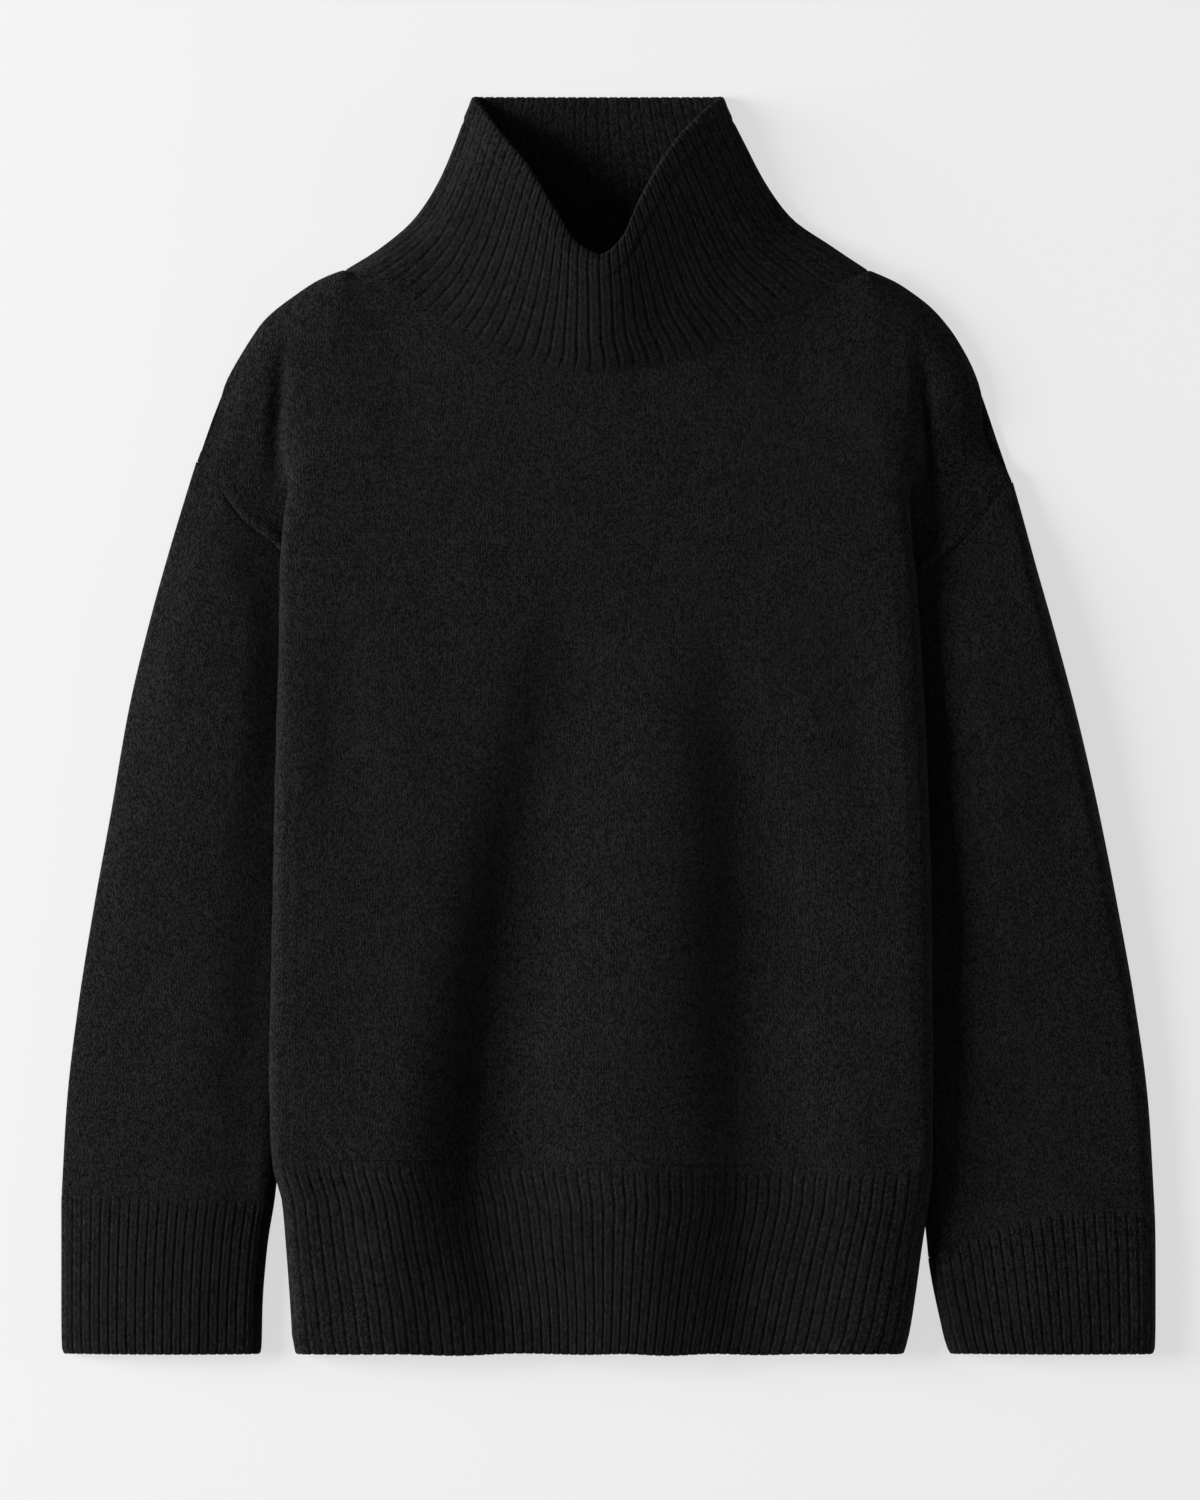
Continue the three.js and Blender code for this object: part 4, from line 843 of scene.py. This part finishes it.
def make_hem():
    us = spaced(FULL_U, 900)
    ts = np.concatenate([np.linspace(0, 0.08, 4), np.linspace(0.08, 0.96, 15)[1:], [0.985]])
    loops = []
    for t in ts:
        half = lerp(WALL / 2, RIB / 2, smooth(t / 0.07))
        yv = lerp(HEM_SEAM_Y, HEM_END, t)
        gx, _ = body_point(us, yv + 0 * us, half, half)
        y = lerp(hem_seam(gx) + GAP - CLOSE, HEM_END, t)
        x, z = body_point(us, y, half, half)
        k = np.minimum(us, 1 - us)
        x = x + smooth((t - 0.9) / 0.1) * 1.4 * np.where(us < 0.5, 1, -1) * smooth((U_CROWN + 0.02 - k) / 0.05)
        front = np.stack([x, y, z], 1)
        xb = np.linspace(x[-1], x[0], 400)[1:-1]
        back = np.stack([xb, lerp(hem_seam(xb) + GAP - CLOSE, HEM_END, t), half + 0 * xb], 1)
        loop = np.concatenate([front, back])
        loops.append(np.roll(loop, -len(front) - 199, axis=0))
    loops = loops[::-1]

    def lean(grid):
        x, y, z = grid[..., 0], grid[..., 1], grid[..., 2]
        drop = (HEM_SEAM_Y - y) / (HEM_SEAM_Y - HEM_END)
        bow = np.sin(np.pi * np.clip(np.abs(x) / 196.0, 0, 1)) * np.sign(-x)
        shift = bow * LEAN * (HEM_SEAM_Y - HEM_END) * smooth(drop) * np.where(z > 4.5, 1, 0.4)
        ripple = wobble(x, 0 * y, 41, 46) * 0.5 * smooth((drop - 0.8) / 0.2)
        z = z + np.where(z > 4.5, relief(x + shift, y) - relief(x, y), 0)
        return np.stack([x + shift, y + ripple, z], -1)

    order = ts[::-1]
    fade = smooth(order / 0.07)
    obj = ribbed_shell("hem_cloth", loops, HEM_RIBS, 1.0, 0.0, lean=lean, fade=fade)
    return finish_piece(obj, "hem_rib", ribbed)


def make_cuff(side):
    table = CUFF_R if side == 0 else CUFF_L
    ts = np.concatenate([[0.0], np.linspace(0.04, 0.96, 15), [0.983]])
    loops = []
    for t in ts:
        p, s, width = limb_loop(table, side, False, lerp(WALL / 2, RIB / 2, smooth(t / 0.05)), t, 160)
        if t < 0.01:
            p[:, 1] -= CLOSE
        p = np.roll(p, -len(p) * 3 // 4, axis=0)
        loops.append(p[::-1] if side == 1 else p)
    fade = smooth(ts[::-1] / 0.05)
    name = "cuff_right_cloth" if side == 0 else "cuff_left_cloth"
    obj = ribbed_shell(name, loops[::-1], CUFF_RIBS, 1.0, 0.0, fade=fade)
    return finish_piece(obj, "cuff_right" if side == 0 else "cuff_left", ribbed)


def make_collar():
    vs = np.concatenate([[0.0, 0.012, 0.03, 0.05], np.linspace(0.08, 0.76, 18), np.linspace(0.775, 0.90, 12), [0.915, 0.935, 0.955, 0.975, 0.988]])
    s = 0.5 - 0.5 * np.cos(np.pi * np.linspace(0, 1, 420))
    loops = []
    nf, nb = COLLAR_FRONT_RIBS * RIB_STEPS, COLLAR_BACK_RIBS * RIB_STEPS
    edge = front_mid(U_NECK + s * (1 - 2 * U_NECK), np.ones_like(s))[:, 2]
    step = (edge - collar_mid(s, 0.0, False)[:, 2]) * smooth(np.minimum(s, 1 - s) / 0.02)
    for v in vs:
        line = collar_mid(s, v, False)
        line[:, 2] += step * (1 - smooth(v / 0.35))
        front = even_open(line, nf)
        back = even_open(collar_mid(s[::-1], v, True), nb)
        loops.append(np.roll(np.concatenate([front, back]), nb // 2, axis=0))
    # the ribs thicken out of the seam; a band line is knitted in under the lip
    fade = smooth(vs / 0.09)
    grid = np.array(loops)
    down = np.linalg.norm(np.diff(grid, axis=0), axis=-1)
    from_lip = np.concatenate([np.cumsum(down[::-1], 0)[::-1], 0 * down[:1]], 0)
    bead = (0.40 * (1 - smooth((from_lip - 11.5) / 2.5)) - 0.35 * np.exp(-((from_lip - 14.6) / 1.5) ** 2)
            + 0.30 * (1 - smooth((from_lip - 2.0) / 3.0)))
    obj = ribbed_shell("collar_cloth", grid, COLLAR_FRONT_RIBS + COLLAR_BACK_RIBS, 0.0, 1.0, fade=fade, bead=bead,
                       phase=-(nb // 2) / RIB_STEPS, spaced_already=True, deep=COLLAR_DEEP)
    return finish_piece(obj, "collar", ribbed)


# ---------------------------------------------------------------- camera, floor, light
CAM_X, CAM_Y, CAM_Z = -0.0051, -0.0144, 4.5
FRAME_HEIGHT = 0.9
cam_data = bpy.data.cameras.new("camera")
cam_data.sensor_width = 36.0
cam_data.lens = 36.0 * CAM_Z / FRAME_HEIGHT
cam_data.clip_end = 50
cam = bpy.data.objects.new("camera", cam_data)
cam.location = (CAM_X, CAM_Y, CAM_Z)
bpy.context.scene.collection.objects.link(cam)
bpy.context.scene.camera = cam


def make_floor():
    size, n = 3.0, 6
    mesh = bpy.data.meshes.new("floor")
    pts = [(lerp(-size, size, i / n), lerp(-size, size, j / n), 0.0) for j in range(n + 1) for i in range(n + 1)]
    faces = [(j * (n + 1) + i, j * (n + 1) + i + 1, (j + 1) * (n + 1) + i + 1, (j + 1) * (n + 1) + i)
             for j in range(n) for i in range(n)]
    mesh.from_pydata(pts, [], faces)
    floor = bpy.data.objects.new("floor", mesh)
    bpy.context.scene.collection.objects.link(floor)
    mat = bpy.data.materials.new("floor_paper")
    mat.use_nodes = True
    b = mat.node_tree.nodes["Principled BSDF"]
    b.inputs["Base Color"].default_value = (0.205, 0.211, 0.208, 1)
    b.inputs["Emission Color"].default_value = (1.0, 1.0, 1.0, 1)
    b.inputs["Emission Strength"].default_value = 0.630
    b.inputs["Roughness"].default_value = 1.0
    b.inputs["Specular IOR Level"].default_value = 0.0
    mesh.materials.append(mat)
    return floor


make_floor()


def area_light(name, place, aim, size, power, colour=(1, 1, 1)):
    data = bpy.data.lights.new(name, "AREA")
    data.shape = "RECTANGLE"
    data.size, data.size_y = size
    data.energy = power
    data.color = colour
    obj = bpy.data.objects.new(name, data)
    obj.location = place
    import mathutils

    way = mathutils.Vector(aim) - mathutils.Vector(place)
    obj.rotation_euler = way.to_track_quat("-Z", "Y").to_euler()
    bpy.context.scene.collection.objects.link(obj)
    return obj


area_light("key", (-4.3, 0.45, 1.40), (0.0, 0.0, 0.0), (2.1, 2.1), 600.0)
area_light("fill", (4.0, -0.3, 0.75), (0.0, 0.0, 0.0), (1.6, 1.0), 54.0)
world = bpy.data.worlds.new("studio")
bpy.context.scene.world = world
world.use_nodes = True
world.node_tree.nodes["Background"].inputs[0].default_value = (1.0, 1.0, 1.0, 1)
world.node_tree.nodes["Background"].inputs[1].default_value = 0.20
bpy.context.scene.view_settings.view_transform = "Standard"

# ---------------------------------------------------------------- assembly
front = make_front()
back = make_back()
sleeve_r = make_sleeve(0)
sleeve_l = make_sleeve(1)
cuff_r = make_cuff(0)
cuff_l = make_cuff(1)
hem = make_hem()
neck_collar = make_collar()
